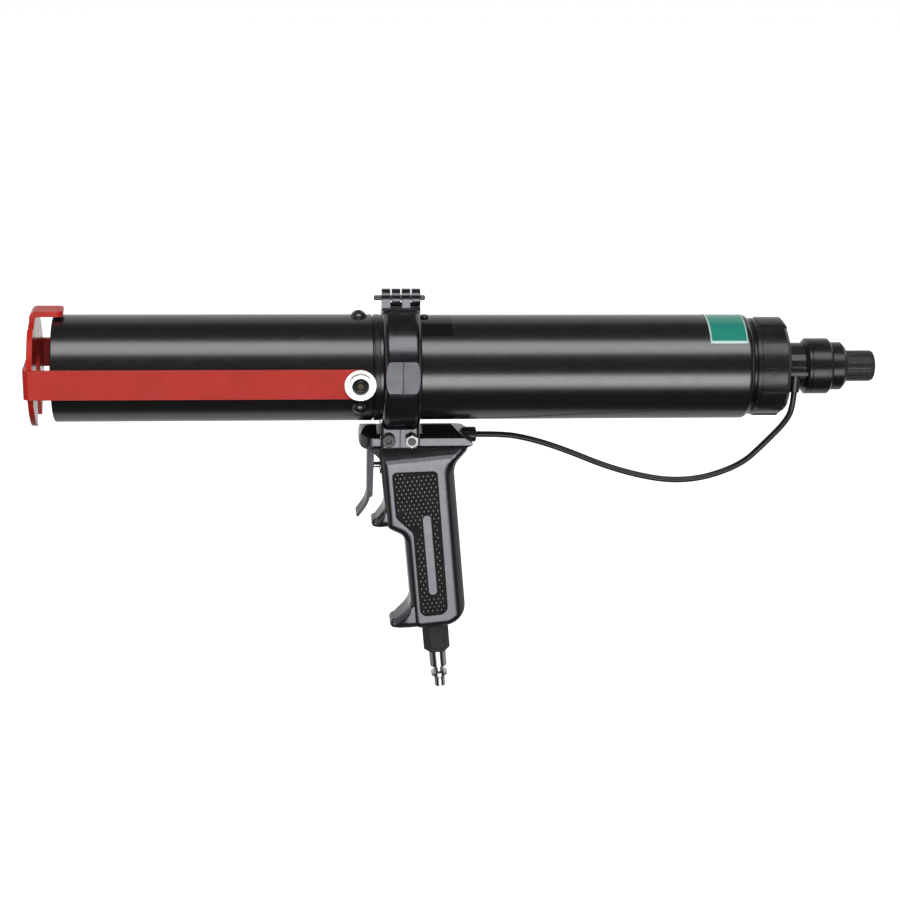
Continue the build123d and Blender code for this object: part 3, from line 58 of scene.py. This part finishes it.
# The air hose's route from the handle's outlet to the regulator's fitting, in mm.
HOSE_ROUTE = (
    (86, 0, -47), (101, 0, -47), (115.5, -2.2, -47.8), (140, -6, -53.8),
    (181.5, -12.5, -69.6), (223.9, -18, -76.3), (261, -21.3, -64.3),
    (279.2, -22.2, -45), (292.1, -20.9, -31), (295.4, -19.5, -21), (295.4, -19.5, -12),
)

# The hose's thickness in metres, and how finely its curve is drawn.
HOSE_DIAMETER = 0.004
HOSE_ORDER = 3
HOSE_STEPS = 16
HOSE_ROUND_STEPS = 6

# The white floor in metres, the grey of its paint and its own glow.
FLOOR_Z = -1.0
FLOOR_HALF = 9.0
FLOOR_PAINT = 0.85
FLOOR_GLOW = 0.85

# A wide soft lamp in front of the gun, which only its matte colours show, in metres and watts.
FILL_PLACE = (0.05, -1.5, 1.2)
FILL_SIZE = (1.6, 1.0)
FILL_POWER = 26.0

# Light level against the angle in degrees above the gun's near side.
TOP_LEVEL = 4.0
BOX_STOPS = (
    (-180, 0.5), (-150, 0.5), (-100, 0.45), (-92, 0.02), (-34, 0.02), (-22, 3.1), (-4, 3.1), (0, 0.03),
    (44, 0.03), (48, 2.5), (71, 2.5), (76, 0.03), (180, 0.03),
)
BACKDROP_STOPS = (
    (-180, 0.8), (-152, 0.8), (-142, 0.0), (124, 0.0), (131, 0.3), (150, 0.5), (180, 0.8),
)

# Where a ramp's new stop stands until it gets its own place.
RAMP_MIDDLE = 0.5

# Where the soft boxes and the backdrop fade out, by how far a direction points to a side.
BOX_MIDDLE = 0.03
BOX_REACH = 0.26
BOX_END = 0.55
BACKDROP_REACH = 0.24
BACKDROP_END = 0.36

# Dim light from all round, from behind beside the backdrop, and from the gun's two ends.
ROOM_LEVEL = 0.035
REAR_LEVEL = 0.6
REAR_START = 0.3
REAR_FULL = 0.55
ENDS_LEVEL = 0.35
ENDS_START = 0.8
ENDS_FULL = 0.92

# The colour sockets of Blender's mix node.
MIX_INPUTS = (6, 7)
MIX_OUTPUT = 2

# The noise that every finish is mixed from: clouds, smudges and grain, whose depth is in metres.
CLOUD_SCALE = 45.0
CLOUD_DETAIL = 3.0
NOISE_LOW = 0.3
NOISE_HIGH = 0.7
SMUDGE_FINENESS = 3.1
SMUDGE_DETAIL = 4.0
GRAIN_DETAIL = 2.0
GRAIN_DEPTH = 0.00003

# Softened edges, and the worn edges of painted pieces: how far the normal leans there, and patches.
EDGE_SAMPLES = 4
WEAR_WIDTH = 2.5
WEAR_START = 0.985
WEAR_FULL = 0.8
WEAR_AMOUNT = 0.5
PATCH_SCALE = 420.0
PATCH_LOW = 0.35
PATCH_HIGH = 0.65
PATCH_LEAST = 0.25

# The finishes: what each one sets in make_material, with its edges in metres.
WHITE = (1.0, 1.0, 1.0)
COOL = (0.9, 0.915, 1.0)
DEEP_BLACK = (0.006, 0.006, 0.0064)
GLOSS = dict(specular=1.0, ior=1.65)
TUBE_PAINT = dict(color=(0.0068, 0.0068, 0.007), rough=0.23, mottle=0.1, rough_spread=0.02, grain=0.18,
                  edge=0.0003, **GLOSS)
PRINT = dict(specular=0.8, ior=1.6, rough_spread=0.015, grain=0.03, mottle=0.05)
FINISHES = {
    "barrel_black": TUBE_PAINT,
    "cylinder_black": TUBE_PAINT,
    "cap_black": dict(color=(0.013, 0.013, 0.0135), rough=0.25, specular=0.65, grain=0.1,
                      grain_scale=1800.0, edge=0.0006),
    "handle_black": dict(color=DEEP_BLACK, rough=0.28, specular=1.0, ior=1.78, tint=COOL, mottle=0.12,
                         rough_spread=0.03, grain=0.06, grain_scale=1900.0, edge=0.0006),
    "clamp_black": dict(color=DEEP_BLACK, rough=0.2, tint=COOL, grain=0.15, grain_scale=1500.0,
                        edge=0.0006, **GLOSS),
    "hose_black": dict(color=(0.01, 0.01, 0.01), rough=0.3, specular=0.7, grain=0.08),
    "seal_rubber": dict(color=(0.014, 0.014, 0.014), rough=0.55, specular=0.4, grain=0.3),
    "screw_black": dict(color=(0.014, 0.014, 0.015), rough=0.24, grain=0.1, **GLOSS),
    "steel": dict(color=(0.52, 0.52, 0.51), rough=0.26, metallic=1.0, rough_spread=0.08, grain=0.15),
    "trigger_steel": dict(color=(0.062, 0.065, 0.074), rough=0.4, metallic=0.5, rough_spread=0.06,
                          grain=0.3, grain_scale=1400.0),
    "pin_black": dict(color=(0.02, 0.02, 0.021), rough=0.5, specular=0.4, grain=0.2),
    "bolt_black": dict(color=(0.05, 0.05, 0.05), rough=0.42, specular=0.8, grain=0.2),
    "nut_steel": dict(color=(0.34, 0.34, 0.33), rough=0.32, metallic=1.0, rough_spread=0.08, grain=0.15),
    "bushing_black": dict(color=(0.018, 0.018, 0.018), rough=0.5, specular=0.4, grain=0.35,
                          grain_scale=1600.0),
    "bush_zinc": dict(color=(0.86, 0.86, 0.85), rough=0.3, metallic=0.75, mottle=0.05, grain=0.1),
    "slug_bronze": dict(color=(0.07, 0.052, 0.03), rough=0.34, metallic=1.0, grain=0.1),
    "bush_brass": dict(color=(0.6, 0.42, 0.17), rough=0.28, metallic=1.0, grain=0.1),
    "aluminium": dict(color=(0.68, 0.68, 0.69), rough=0.3, metallic=1.0, grain=0.15),
    "rod_chrome": dict(color=(0.7, 0.7, 0.7), rough=0.1, metallic=1.0, mottle=0.05, rough_spread=0.02,
                       grain=0.03),
    "plug_chrome": dict(color=(0.64, 0.62, 0.6), rough=0.12, metallic=1.0, mottle=0.08,
                        rough_spread=0.03, grain=0.04),
    "retainer_red": dict(color=(0.48, 0.022, 0.014), rough=0.24, specular=0.15, mottle=0.06, grain=0.0,
                         wear=(0.6, 0.2, 0.17)),
    "panel_black": dict(color=(0.007, 0.007, 0.0074), rough=0.6, specular=0.35, mottle=0.15, grain=0.5,
                        grain_scale=1500.0),
    "stud_black": dict(color=(0.008, 0.008, 0.0084), rough=0.26, specular=1.0, ior=1.7, mottle=0.15,
                       grain=0.1, edge=0.0001),
    "label_green": dict(color=(0.022, 0.262, 0.2), rough=0.07, **PRINT),
    "label_mint": dict(color=(0.46, 0.66, 0.6), rough=0.07, **PRINT),
    "label_black": dict(color=(0.004, 0.004, 0.0044), rough=0.06, **PRINT),
}

# Pieces whose finish differs from the rest of their slot.
NODE_FINISHES = {
    "trigger_pin": "pin_black",
    "clamp_bolts": "bolt_black",
    "clamp_nuts": "nut_steel",
    "valve_body": "nut_steel",
    "inlet_bushing": "bushing_black",
}

# The grip's own frame: t runs to the rear, s down the grip, both in mm.
GRIP_X = 44.0
GRIP_Z = -54.0
GRIP_RAKE = math.radians(5.7)

# The grip's sunk panel in mm: its corners as t, s and radius, and its distance from the gun's middle.
PANEL_CORNERS = (
    (-16, 13.5, 3), (14.2, 15.5, 3), (13.4, 119.5, 6), (-5.4, 119.5, 5), (-5.4, 58, 6), (-16, 46, 6),
)
PANEL_FACE = 13.3
PANEL_SHEET = 0.12
CORNER_STEPS = 6
WELD_DISTANCE = 0.001

# The raised stripe on the panel in mm, and how round its ends are as a share of half its width.
STRIPE_T = 4.5
STRIPE_WIDTH = 5.6
STRIPE_TOP = 46.2
STRIPE_END = 104.2
STRIPE_GAP = 0.12
STRIPE_ROUND = 0.94

# The studs' grid in mm, with its columns to either side of the grip's middle.
STUD_ROWS = 60
STUD_COLUMNS = 12
STUD_START = 10.0
STUD_PITCH = 3.1
STUD_ROW = 2.79

# How far the studs keep from the stripe and the panel's edge in mm, and from its corners by their radius.
STUD_MARGIN = 1.2
STUD_EDGE_MARGIN = 1.5
STUD_CORNER = 0.55

# One stud in mm: half its width and length at the base and the top, its height and its sunk root.
STUD_SIDES = 4
STUD_BASE = (1.35, 1.25)
STUD_TOP = (0.42, 0.8)
STUD_HEIGHT = 0.8
STUD_ROOT = 0.2

# The stickers in mm: places along the cylinder, and angles in degrees above the gun's near side.
CYLINDER_R = 34.6
LABEL_RISE = 0.12
LABEL_SEAT = 0.02
LABEL_ROW = 2.2
LABEL_COLUMNS = 4
GREEN_ENDS = (236, 261)
GREEN_ANGLES = (42, 128)
BORDER_FRONT = 237.1
BORDER_REAR = 260.1
BORDER_ANGLE = 45.2
BLACK_ENDS = (48, 68)
BLACK_ANGLES = (51, 110)

# The pivot screws' cores in mm: radii, and distances from the gun's middle plane.
PIVOT_X = 7.0
SLUG_SIDES = 6
SLUG_SHANK_R = 1.6
SLUG_R = 2.15
SLUG_HOLE_R = 0.9
SLUG_FOOT = 41.3
SLUG_SEAT = 42.46
SLUG_TOP = 42.95
SLUG_EDGE = 0.2
SLUG_DIP = 0.7


def add_camera():
    data = bpy.data.cameras.new("photo_camera")
    data.lens = CAMERA_LENS
    data.sensor_width = CAMERA_SENSOR
    camera = bpy.data.objects.new("photo_camera", data)
    right = Vector(CAMERA_RIGHT)
    forward = Vector(CAMERA_FORWARD)
    turn = Matrix((right, right.cross(forward), -forward)).transposed()
    camera.matrix_world = Matrix.Translation(CAMERA_PLACE) @ turn.to_4x4()
    scene.collection.objects.link(camera)
    scene.camera = camera


def add_hose():
    curve = bpy.data.curves.new("hose", "CURVE")
    curve.dimensions = "3D"
    curve.resolution_u = HOSE_STEPS
    curve.bevel_depth = 1.0
    curve.bevel_resolution = HOSE_ROUND_STEPS
    curve.use_fill_caps = True
    spline = curve.splines.new("NURBS")
    spline.points.add(len(HOSE_ROUTE) - 1)
    for point, place in zip(spline.points, HOSE_ROUTE):
        point.co = (*(v * MM for v in place), 1)
        point.radius = HOSE_DIAMETER / 2
    spline.order_u = HOSE_ORDER
    spline.use_endpoint_u = True
    hose = bpy.data.objects.new("hose", curve)
    scene.collection.objects.link(hose)
    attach(hose, "gun_body")
    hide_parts("air_hose")
    return hose


class Tree:
    """A node tree with short calls for adding and joining nodes."""

    def __init__(self, tree):
        self.tree = tree
        self.tree.nodes.clear()

    def add(self, kind, **settings):
        node = self.tree.nodes.new("ShaderNode" + kind)
        for key, value in settings.items():
            setattr(node, key, value)
        return node

    def link(self, source, target):
        self.tree.links.new(source, target)

    def math(self, operation, *values):
        node = self.add("Math", operation=operation)
        for socket, value in zip(node.inputs, values):
            if isinstance(value, (int, float)):
                socket.default_value = value
            else:
                self.link(value, socket)
        return node.outputs[0]

    def span(self, value, low, high, to_low, to_high, smooth=False):
        node = self.add("MapRange", interpolation_type="SMOOTHSTEP" if smooth else "LINEAR")
        self.link(value, node.inputs["Value"])
        node.inputs["From Min"].default_value = low
        node.inputs["From Max"].default_value = high
        node.inputs["To Min"].default_value = to_low
        node.inputs["To Max"].default_value = to_high
        return node.outputs["Result"]

    def noise(self, vector, scale, detail=CLOUD_DETAIL):
        node = self.add("TexNoise")
        self.link(vector, node.inputs["Vector"])
        node.inputs["Scale"].default_value = scale
        node.inputs["Detail"].default_value = detail
        return node.outputs["Fac"]

    def mix(self, factor, first, second):
        node = self.add("Mix", data_type="RGBA")
        self.link(factor, node.inputs["Factor"])
        for place, value in zip(MIX_INPUTS, (first, second)):
            if isinstance(value, tuple):
                node.inputs[place].default_value = (*value, 1)
            else:
                self.link(value, node.inputs[place])
        return node.outputs[MIX_OUTPUT]


def shade(color, gain):
    return tuple(min(1.0, c * gain) for c in color)


def worn_edges(tree, place, edge):
    """How bare the paint is: in patches where the surface turns at an edge."""
    wide = tree.add("Bevel", samples=EDGE_SAMPLES)
    wide.inputs["Radius"].default_value = edge * WEAR_WIDTH
    lean = tree.add("VectorMath", operation="DOT_PRODUCT")
    tree.link(wide.outputs["Normal"], lean.inputs[0])
    tree.link(tree.add("NewGeometry").outputs["True Normal"], lean.inputs[1])
    bare = tree.span(lean.outputs["Value"], WEAR_START, WEAR_FULL, 0, WEAR_AMOUNT, smooth=True)
    patch = tree.span(tree.noise(place, PATCH_SCALE), PATCH_LOW, PATCH_HIGH, PATCH_LEAST, 1)
    return tree.math("MULTIPLY", bare, patch)


def make_material(name, color, rough, metallic=0.0, specular=0.5, ior=1.5, tint=WHITE, mottle=0.2,
                  rough_spread=0.05, grain=0.12, grain_scale=2600.0, edge=0.0004, wear=None):
    """A procedural finish: cloudy colour, fine grain, softened edges and, if it has a colour, edge wear."""
    material = bpy.data.materials.new(name)
    material.use_nodes = True
    tree = Tree(material.node_tree)
    out = tree.add("OutputMaterial")
    shader = tree.add("BsdfPrincipled")
    tree.link(shader.outputs["BSDF"], out.inputs["Surface"])
    shader.inputs["Metallic"].default_value = metallic
    shader.inputs["Specular IOR Level"].default_value = specular
    shader.inputs["IOR"].default_value = ior
    shader.inputs["Specular Tint"].default_value = (*tint, 1)
    place = tree.add("TexCoord").outputs["Object"]
    cloud = tree.span(tree.noise(place, CLOUD_SCALE), NOISE_LOW, NOISE_HIGH, 0, 1)
    paint = tree.mix(cloud, shade(color, 1 - mottle), shade(color, 1 + mottle))
    fine = tree.noise(place, grain_scale, GRAIN_DETAIL)
    bevel = tree.add("Bevel", samples=EDGE_SAMPLES)
    bevel.inputs["Radius"].default_value = edge
    if wear:
        paint = tree.mix(worn_edges(tree, place, edge), paint, wear)
    tree.link(paint, shader.inputs["Base Color"])
    smudge = tree.noise(place, CLOUD_SCALE * SMUDGE_FINENESS, SMUDGE_DETAIL)
    dull = tree.span(smudge, NOISE_LOW, NOISE_HIGH, rough - rough_spread, rough + rough_spread)
    tree.link(dull, shader.inputs["Roughness"])
    bump = tree.add("Bump")
    bump.inputs["Strength"].default_value = grain
    bump.inputs["Distance"].default_value = GRAIN_DEPTH
    tree.link(fine, bump.inputs["Height"])
    tree.link(bevel.outputs["Normal"], bump.inputs["Normal"])
    tree.link(bump.outputs["Normal"], shader.inputs["Normal"])
    return material


def add_ramp(tree, turn, stops):
    """Light level by angle round the gun, from straight behind below to straight behind above."""
    ramp = tree.add("ValToRGB")
    tree.link(turn, ramp.inputs["Fac"])
    elements = ramp.color_ramp.elements
    while len(elements) < len(stops):
        elements.new(RAMP_MIDDLE)
    for element, (degrees, level) in zip(elements, stops):
        element.position = (degrees + HALF_TURN) / FULL_TURN
        grey = level / TOP_LEVEL
        element.color = (grey, grey, grey, 1)
    return ramp.outputs["Color"]


def studio_light(tree):
    """Light by direction, as a share of the top level: the dim room, the soft boxes and the backdrop."""
    direction = tree.add("SeparateXYZ")
    tree.link(tree.add("TexCoord").outputs["Generated"], direction.inputs[0])
    front = tree.math("MULTIPLY", direction.outputs["Y"], -1.0)
    angle = tree.math("ARCTAN2", direction.outputs["Z"], front)
    turn = tree.span(angle, -math.pi, math.pi, 0, 1)
    boxes = add_ramp(tree, turn, BOX_STOPS)
    backdrop = add_ramp(tree, turn, BACKDROP_STOPS)
    sideways = tree.math("ABSOLUTE", tree.math("SUBTRACT", direction.outputs["X"], BOX_MIDDLE))
    behind = tree.span(direction.outputs["Y"], REAR_START, REAR_FULL, 0, 1, smooth=True)
    aside = tree.span(sideways, BACKDROP_REACH, BACKDROP_END, 0, REAR_LEVEL / TOP_LEVEL, smooth=True)
    rear = tree.math("MULTIPLY", behind, aside)
    ends = tree.span(sideways, ENDS_START, ENDS_FULL, 0, ENDS_LEVEL / TOP_LEVEL, smooth=True)
    dim = tree.math("ADD", tree.math("MAXIMUM", rear, ends), ROOM_LEVEL / TOP_LEVEL)
    room = tree.add("CombineXYZ")
    for socket in room.inputs:
        tree.link(dim, socket)
    total = room.outputs[0]
    for levels, reach, end in ((boxes, BOX_REACH, BOX_END), (backdrop, BACKDROP_REACH, BACKDROP_END)):
        lit = tree.add("VectorMath", operation="MULTIPLY_ADD")
        tree.link(levels, lit.inputs[0])
        tree.link(tree.span(sideways, reach, end, 1, 0, smooth=True), lit.inputs[1])
        tree.link(total, lit.inputs[2])
        total = lit.outputs[0]
    return total


def add_world():
    """A studio: soft boxes that run along the gun, dark gaps between them and a white backdrop."""
    world = bpy.data.worlds.new("studio")
    scene.world = world
    world.use_nodes = True
    tree = Tree(world.node_tree)
    out = tree.add("OutputWorld")
    tent = tree.add("Background")
    tree.link(studio_light(tree), tent.inputs["Color"])
    tent.inputs["Strength"].default_value = TOP_LEVEL
    white = tree.add("Background")
    white.inputs["Color"].default_value = (*WHITE, 1)
    pick = tree.add("MixShader")
    tree.link(tree.add("LightPath").outputs["Is Camera Ray"], pick.inputs["Fac"])
    tree.link(tent.outputs[0], pick.inputs[1])
    tree.link(white.outputs[0], pick.inputs[2])
    tree.link(pick.outputs[0], out.inputs["Surface"])


def add_fill():
    data = bpy.data.lights.new("fill", "AREA")
    data.shape = "RECTANGLE"
    data.size, data.size_y = FILL_SIZE
    data.energy = FILL_POWER
    lamp = bpy.data.objects.new("fill", data)
    lamp.location = FILL_PLACE
    lamp.rotation_mode = "QUATERNION"
    lamp.rotation_quaternion = (-Vector(FILL_PLACE)).to_track_quat("-Z", "Y")
    lamp.visible_glossy = False
    lamp.visible_camera = False
    scene.collection.objects.link(lamp)


def add_floor():
    mesh = bpy.data.meshes.new("floor")
    corners = [(-1, -1), (1, -1), (1, 1), (-1, 1)]
    mesh.from_pydata([(x * FLOOR_HALF, y * FLOOR_HALF, FLOOR_Z) for x, y in corners], [], [(0, 1, 2, 3)])
    floor = bpy.data.objects.new("floor", mesh)
    scene.collection.objects.link(floor)
    floor.visible_diffuse = False
    floor.visible_glossy = False
    material = bpy.data.materials.new("floor_white")
    material.use_nodes = True
    tree = Tree(material.node_tree)
    out = tree.add("OutputMaterial")
    paint = tree.add("BsdfDiffuse")
    paint.inputs["Color"].default_value = (FLOOR_PAINT, FLOOR_PAINT, FLOOR_PAINT, 1)
    lift = tree.add("Emission")
    lift.inputs["Strength"].default_value = FLOOR_GLOW
    both = tree.add("AddShader")
    tree.link(paint.outputs[0], both.inputs[0])
    tree.link(lift.outputs[0], both.inputs[1])
    tree.link(both.outputs[0], out.inputs["Surface"])
    mesh.materials.append(material)


def add_mesh(name, verts, faces, body, finish):
    """A piece that only the scene has, on a body and with one of the finishes."""
    mesh = bpy.data.meshes.new(name)
    mesh.from_pydata(verts, [], faces)
    mesh.update()
    piece = bpy.data.objects.new(name, mesh)
    scene.collection.objects.link(piece)
    mesh.materials.append(finishes[finish])
    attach(piece, body)
    return piece


def grip_point(t, s, y):
    """A place in the grip's own frame, as a point in metres."""
    x = GRIP_X + t * math.cos(GRIP_RAKE) + s * math.sin(GRIP_RAKE)
    z = GRIP_Z + t * math.sin(GRIP_RAKE) - s * math.cos(GRIP_RAKE)
    return (x * MM, y * MM, z * MM)


def edge_distance(point, corners):
    """Distance from a point to a polygon's edge, positive inside it."""
    inside = False
    nearest = math.inf
    for (t0, s0), (t1, s1) in zip(corners, corners[1:] + corners[:1]):
        if (s0 > point[1]) != (s1 > point[1]):
            if point[0] < t0 + (point[1] - s0) * (t1 - t0) / (s1 - s0):
                inside = not inside
        run = (t1 - t0, s1 - s0)
        along = ((point[0] - t0) * run[0] + (point[1] - s0) * run[1]) / (run[0] ** 2 + run[1] ** 2)
        along = max(0.0, min(1.0, along))
        nearest = min(nearest, math.hypot(point[0] - t0 - along * run[0], point[1] - s0 - along * run[1]))
    return nearest if inside else -nearest


def stripe_distance(t, s):
    """Distance from a place to the stripe's edge, positive outside it."""
    half = STRIPE_WIDTH / 2
    middle = max(STRIPE_TOP + half, min(STRIPE_END - half, s))
    return math.hypot(t - STRIPE_T, s - middle) - half


def stud_places():
    """Where the studs stand: every other row shifted, clear of the panel's edge, corners and stripe."""
    outline = [(t, s) for t, s, radius in PANEL_CORNERS]
    places = []
    for row in range(STUD_ROWS):
        s = STUD_START + row * STUD_ROW
        for column in range(-STUD_COLUMNS, STUD_COLUMNS + 1):
            t = (column + row % 2 / 2) * STUD_PITCH
            if edge_distance((t, s), outline) < STUD_EDGE_MARGIN or stripe_distance(t, s) < STUD_MARGIN:
                continue
            if all(math.hypot(t - corner_t, s - corner_s) > radius * STUD_CORNER + STUD_MARGIN
                   for corner_t, corner_s, radius in PANEL_CORNERS):
                places.append((t, s))
    return places


def rounded_outline(corners):
    """Points of a closed outline whose (t, s, radius) corners are rounded."""
    points = []
    for before, corner, after in zip(corners[-1:] + corners[:-1], corners, corners[1:] + corners[:1]):
        place = Vector(corner[:2])
        to_before = (Vector(before[:2]) - place).normalized()
        to_after = (Vector(after[:2]) - place).normalized()
        half = to_before.angle(to_after) / 2
        middle = place + (to_before + to_after).normalized() * corner[2] / math.sin(half)
        start = (place + to_before * corner[2] / math.tan(half) - middle).normalized()
        end = (place + to_after * corner[2] / math.tan(half) - middle).normalized()
        points += [middle + corner[2] * start.slerp(end, step / CORNER_STEPS)
                   for step in range(CORNER_STEPS + 1)]
    return points


def add_panel(name, side):
    """The sunk matte field of the grip, with an opening for its raised stripe."""
    half = STRIPE_WIDTH / 2 + STRIPE_GAP
    top = STRIPE_TOP - STRIPE_GAP
    end = STRIPE_END + STRIPE_GAP
    stripe = [(STRIPE_T + across * half, s, half * STRIPE_ROUND)
              for s, across in ((top, -1), (top, 1), (end, 1), (end, -1))]
    curve = bpy.data.curves.new(name, "CURVE")
    curve.dimensions = "2D"
    curve.fill_mode = "BOTH"
    curve.extrude = PANEL_SHEET
    for outline in (rounded_outline(list(PANEL_CORNERS)), rounded_outline(stripe)):
        spline = curve.splines.new("POLY")
        spline.points.add(len(outline) - 1)
        for point, place in zip(spline.points, outline):
            point.co = (*place, 0, 1)
        spline.use_cyclic_u = True
    flat = bpy.data.objects.new(name, curve)
    mesh = bpy.data.meshes.new_from_object(flat)
    bpy.data.objects.remove(flat)
    verts = [grip_point(v.co.x, v.co.y, side * (PANEL_FACE + v.co.z)) for v in mesh.vertices]
    faces = [list(face.vertices) for face in mesh.polygons]
    bpy.data.meshes.remove(mesh)
    panel = add_mesh(name, verts, faces, "gun_body", "panel_black")
    sheet = bmesh.new()
    sheet.from_mesh(panel.data)
    bmesh.ops.remove_doubles(sheet, verts=sheet.verts, dist=WELD_DISTANCE * MM)
    bmesh.ops.recalc_face_normals(sheet, faces=sheet.faces)
    sheet.to_mesh(panel.data)
    sheet.free()


def add_studs(name, side):
    """All studs of one grip panel: low four-sided pyramids with cut-off tops."""
    verts = []
    faces = []
    for t, s in stud_places():
        first = len(verts)
        for (wide, tall), rise in ((STUD_BASE, -STUD_ROOT), (STUD_TOP, STUD_HEIGHT)):
            y = side * (PANEL_FACE + rise)
            verts += [grip_point(t - wide, s, y), grip_point(t, s - tall, y),
                      grip_point(t + wide, s, y), grip_point(t, s + tall, y)]
        base = [first + i for i in range(STUD_SIDES)]
        top = [first + STUD_SIDES + i for i in range(STUD_SIDES)]
        walls = zip(base, base[1:] + base[:1], top[1:] + top[:1], top)
        quads = [base[::-1], top] + [list(wall) for wall in walls]
        faces += quads if side < 0 else [quad[::-1] for quad in quads]
    add_mesh(name, verts, faces, "gun_body", "stud_black")


def add_slug(name, side):
    """The core of a pivot screw: a hexagon that stands in the screw's socket, dipped in the middle."""
    rings = ((SLUG_SHANK_R, SLUG_FOOT), (SLUG_SHANK_R, SLUG_SEAT), (SLUG_R, SLUG_SEAT),
             (SLUG_R, SLUG_TOP - SLUG_EDGE), (SLUG_R - SLUG_EDGE, SLUG_TOP),
             (SLUG_HOLE_R, SLUG_TOP), (SLUG_HOLE_R - SLUG_EDGE, SLUG_TOP - SLUG_DIP))
    turns = [math.radians(FULL_TURN * i / SLUG_SIDES) for i in range(SLUG_SIDES)]
    verts = [((PIVOT_X + r * math.cos(a)) * MM, side * y * MM, r * math.sin(a) * MM)
             for r, y in rings for a in turns]
    faces = [list(range(SLUG_SIDES)), list(range(len(verts) - SLUG_SIDES, len(verts)))[::-1]]
    for ring in range(len(rings) - 1):
        for i in range(SLUG_SIDES):
            here = ring * SLUG_SIDES + i
            there = ring * SLUG_SIDES + (i + 1) % SLUG_SIDES
            faces.append([there, here, here + SLUG_SIDES, there + SLUG_SIDES])
    faces = faces if side > 0 else [face[::-1] for face in faces]
    add_mesh(name, verts, faces, "gun_body", "slug_bronze")


def add_label(name, ends, angles, finish, lift=0.0):
    """A sticker bent round the cylinder, from one angle to another above the gun's near side."""
    rows = math.ceil((angles[1] - angles[0]) / LABEL_ROW)
    width = LABEL_COLUMNS + 1
    layer = (rows + 1) * width
    verts = []
    for rise in (LABEL_SEAT, LABEL_RISE):
        r = CYLINDER_R + lift + rise
        for row in range(rows + 1):
            a = math.radians(angles[0] + (angles[1] - angles[0]) * row / rows)
            for column in range(width):
                x = ends[0] + (ends[1] - ends[0]) * column / LABEL_COLUMNS
                verts.append((x * MM, -r * math.cos(a) * MM, r * math.sin(a) * MM))
    faces = []
    for row in range(rows):
        for column in range(LABEL_COLUMNS):
            corner = row * width + column
            quad = [corner, corner + 1, corner + 1 + width, corner + width]
            faces.append([v + layer for v in quad])
            faces.append(quad[::-1])
    rim = list(range(width))
    rim += [row * width + LABEL_COLUMNS for row in range(1, rows + 1)]
    rim += [rows * width + column for column in range(LABEL_COLUMNS - 1, -1, -1)]
    rim += [row * width for row in range(rows - 1, 0, -1)]
    for here, there in zip(rim, rim[1:] + rim[:1]):
        faces.append([here, there, there + layer, here + layer])
    add_mesh(name, verts, faces, "gun_body", finish)


# Camera, hose, light and floor.
add_camera()
hose = add_hose()
add_world()
add_fill()
add_floor()

# The finishes of the CAD pieces and the hose.
finishes = {name: make_material(name, **settings) for name, settings in FINISHES.items()}
for row in frame["record"]["subparts"]:
    mesh = nodes[row["node"]].data
    mesh.materials.clear()
    mesh.materials.append(finishes[NODE_FINISHES.get(row["node"], row["material_slot"])])
hose.data.materials.append(finishes["hose_black"])

# The pieces that only the scene has.
for place, side in (("near", -1), ("far", 1)):
    add_panel("grip_panel_" + place, side)
    add_studs("grip_studs_" + place, side)
    add_slug("pivot_slug_" + place, side)
add_label("green_label", GREEN_ENDS, GREEN_ANGLES, "label_green")
add_label("label_border_front", (GREEN_ENDS[0], BORDER_FRONT), GREEN_ANGLES, "label_mint", LABEL_RISE)
add_label("label_border_rear", (BORDER_REAR, GREEN_ENDS[1]), GREEN_ANGLES, "label_mint", LABEL_RISE)
add_label("label_border_end", (BORDER_FRONT, BORDER_REAR), (GREEN_ANGLES[0], BORDER_ANGLE), "label_mint",
          LABEL_RISE)
add_label("black_label", BLACK_ENDS, BLACK_ANGLES, "label_black")

# Bring the scene up to date.
bpy.context.view_layer.update()
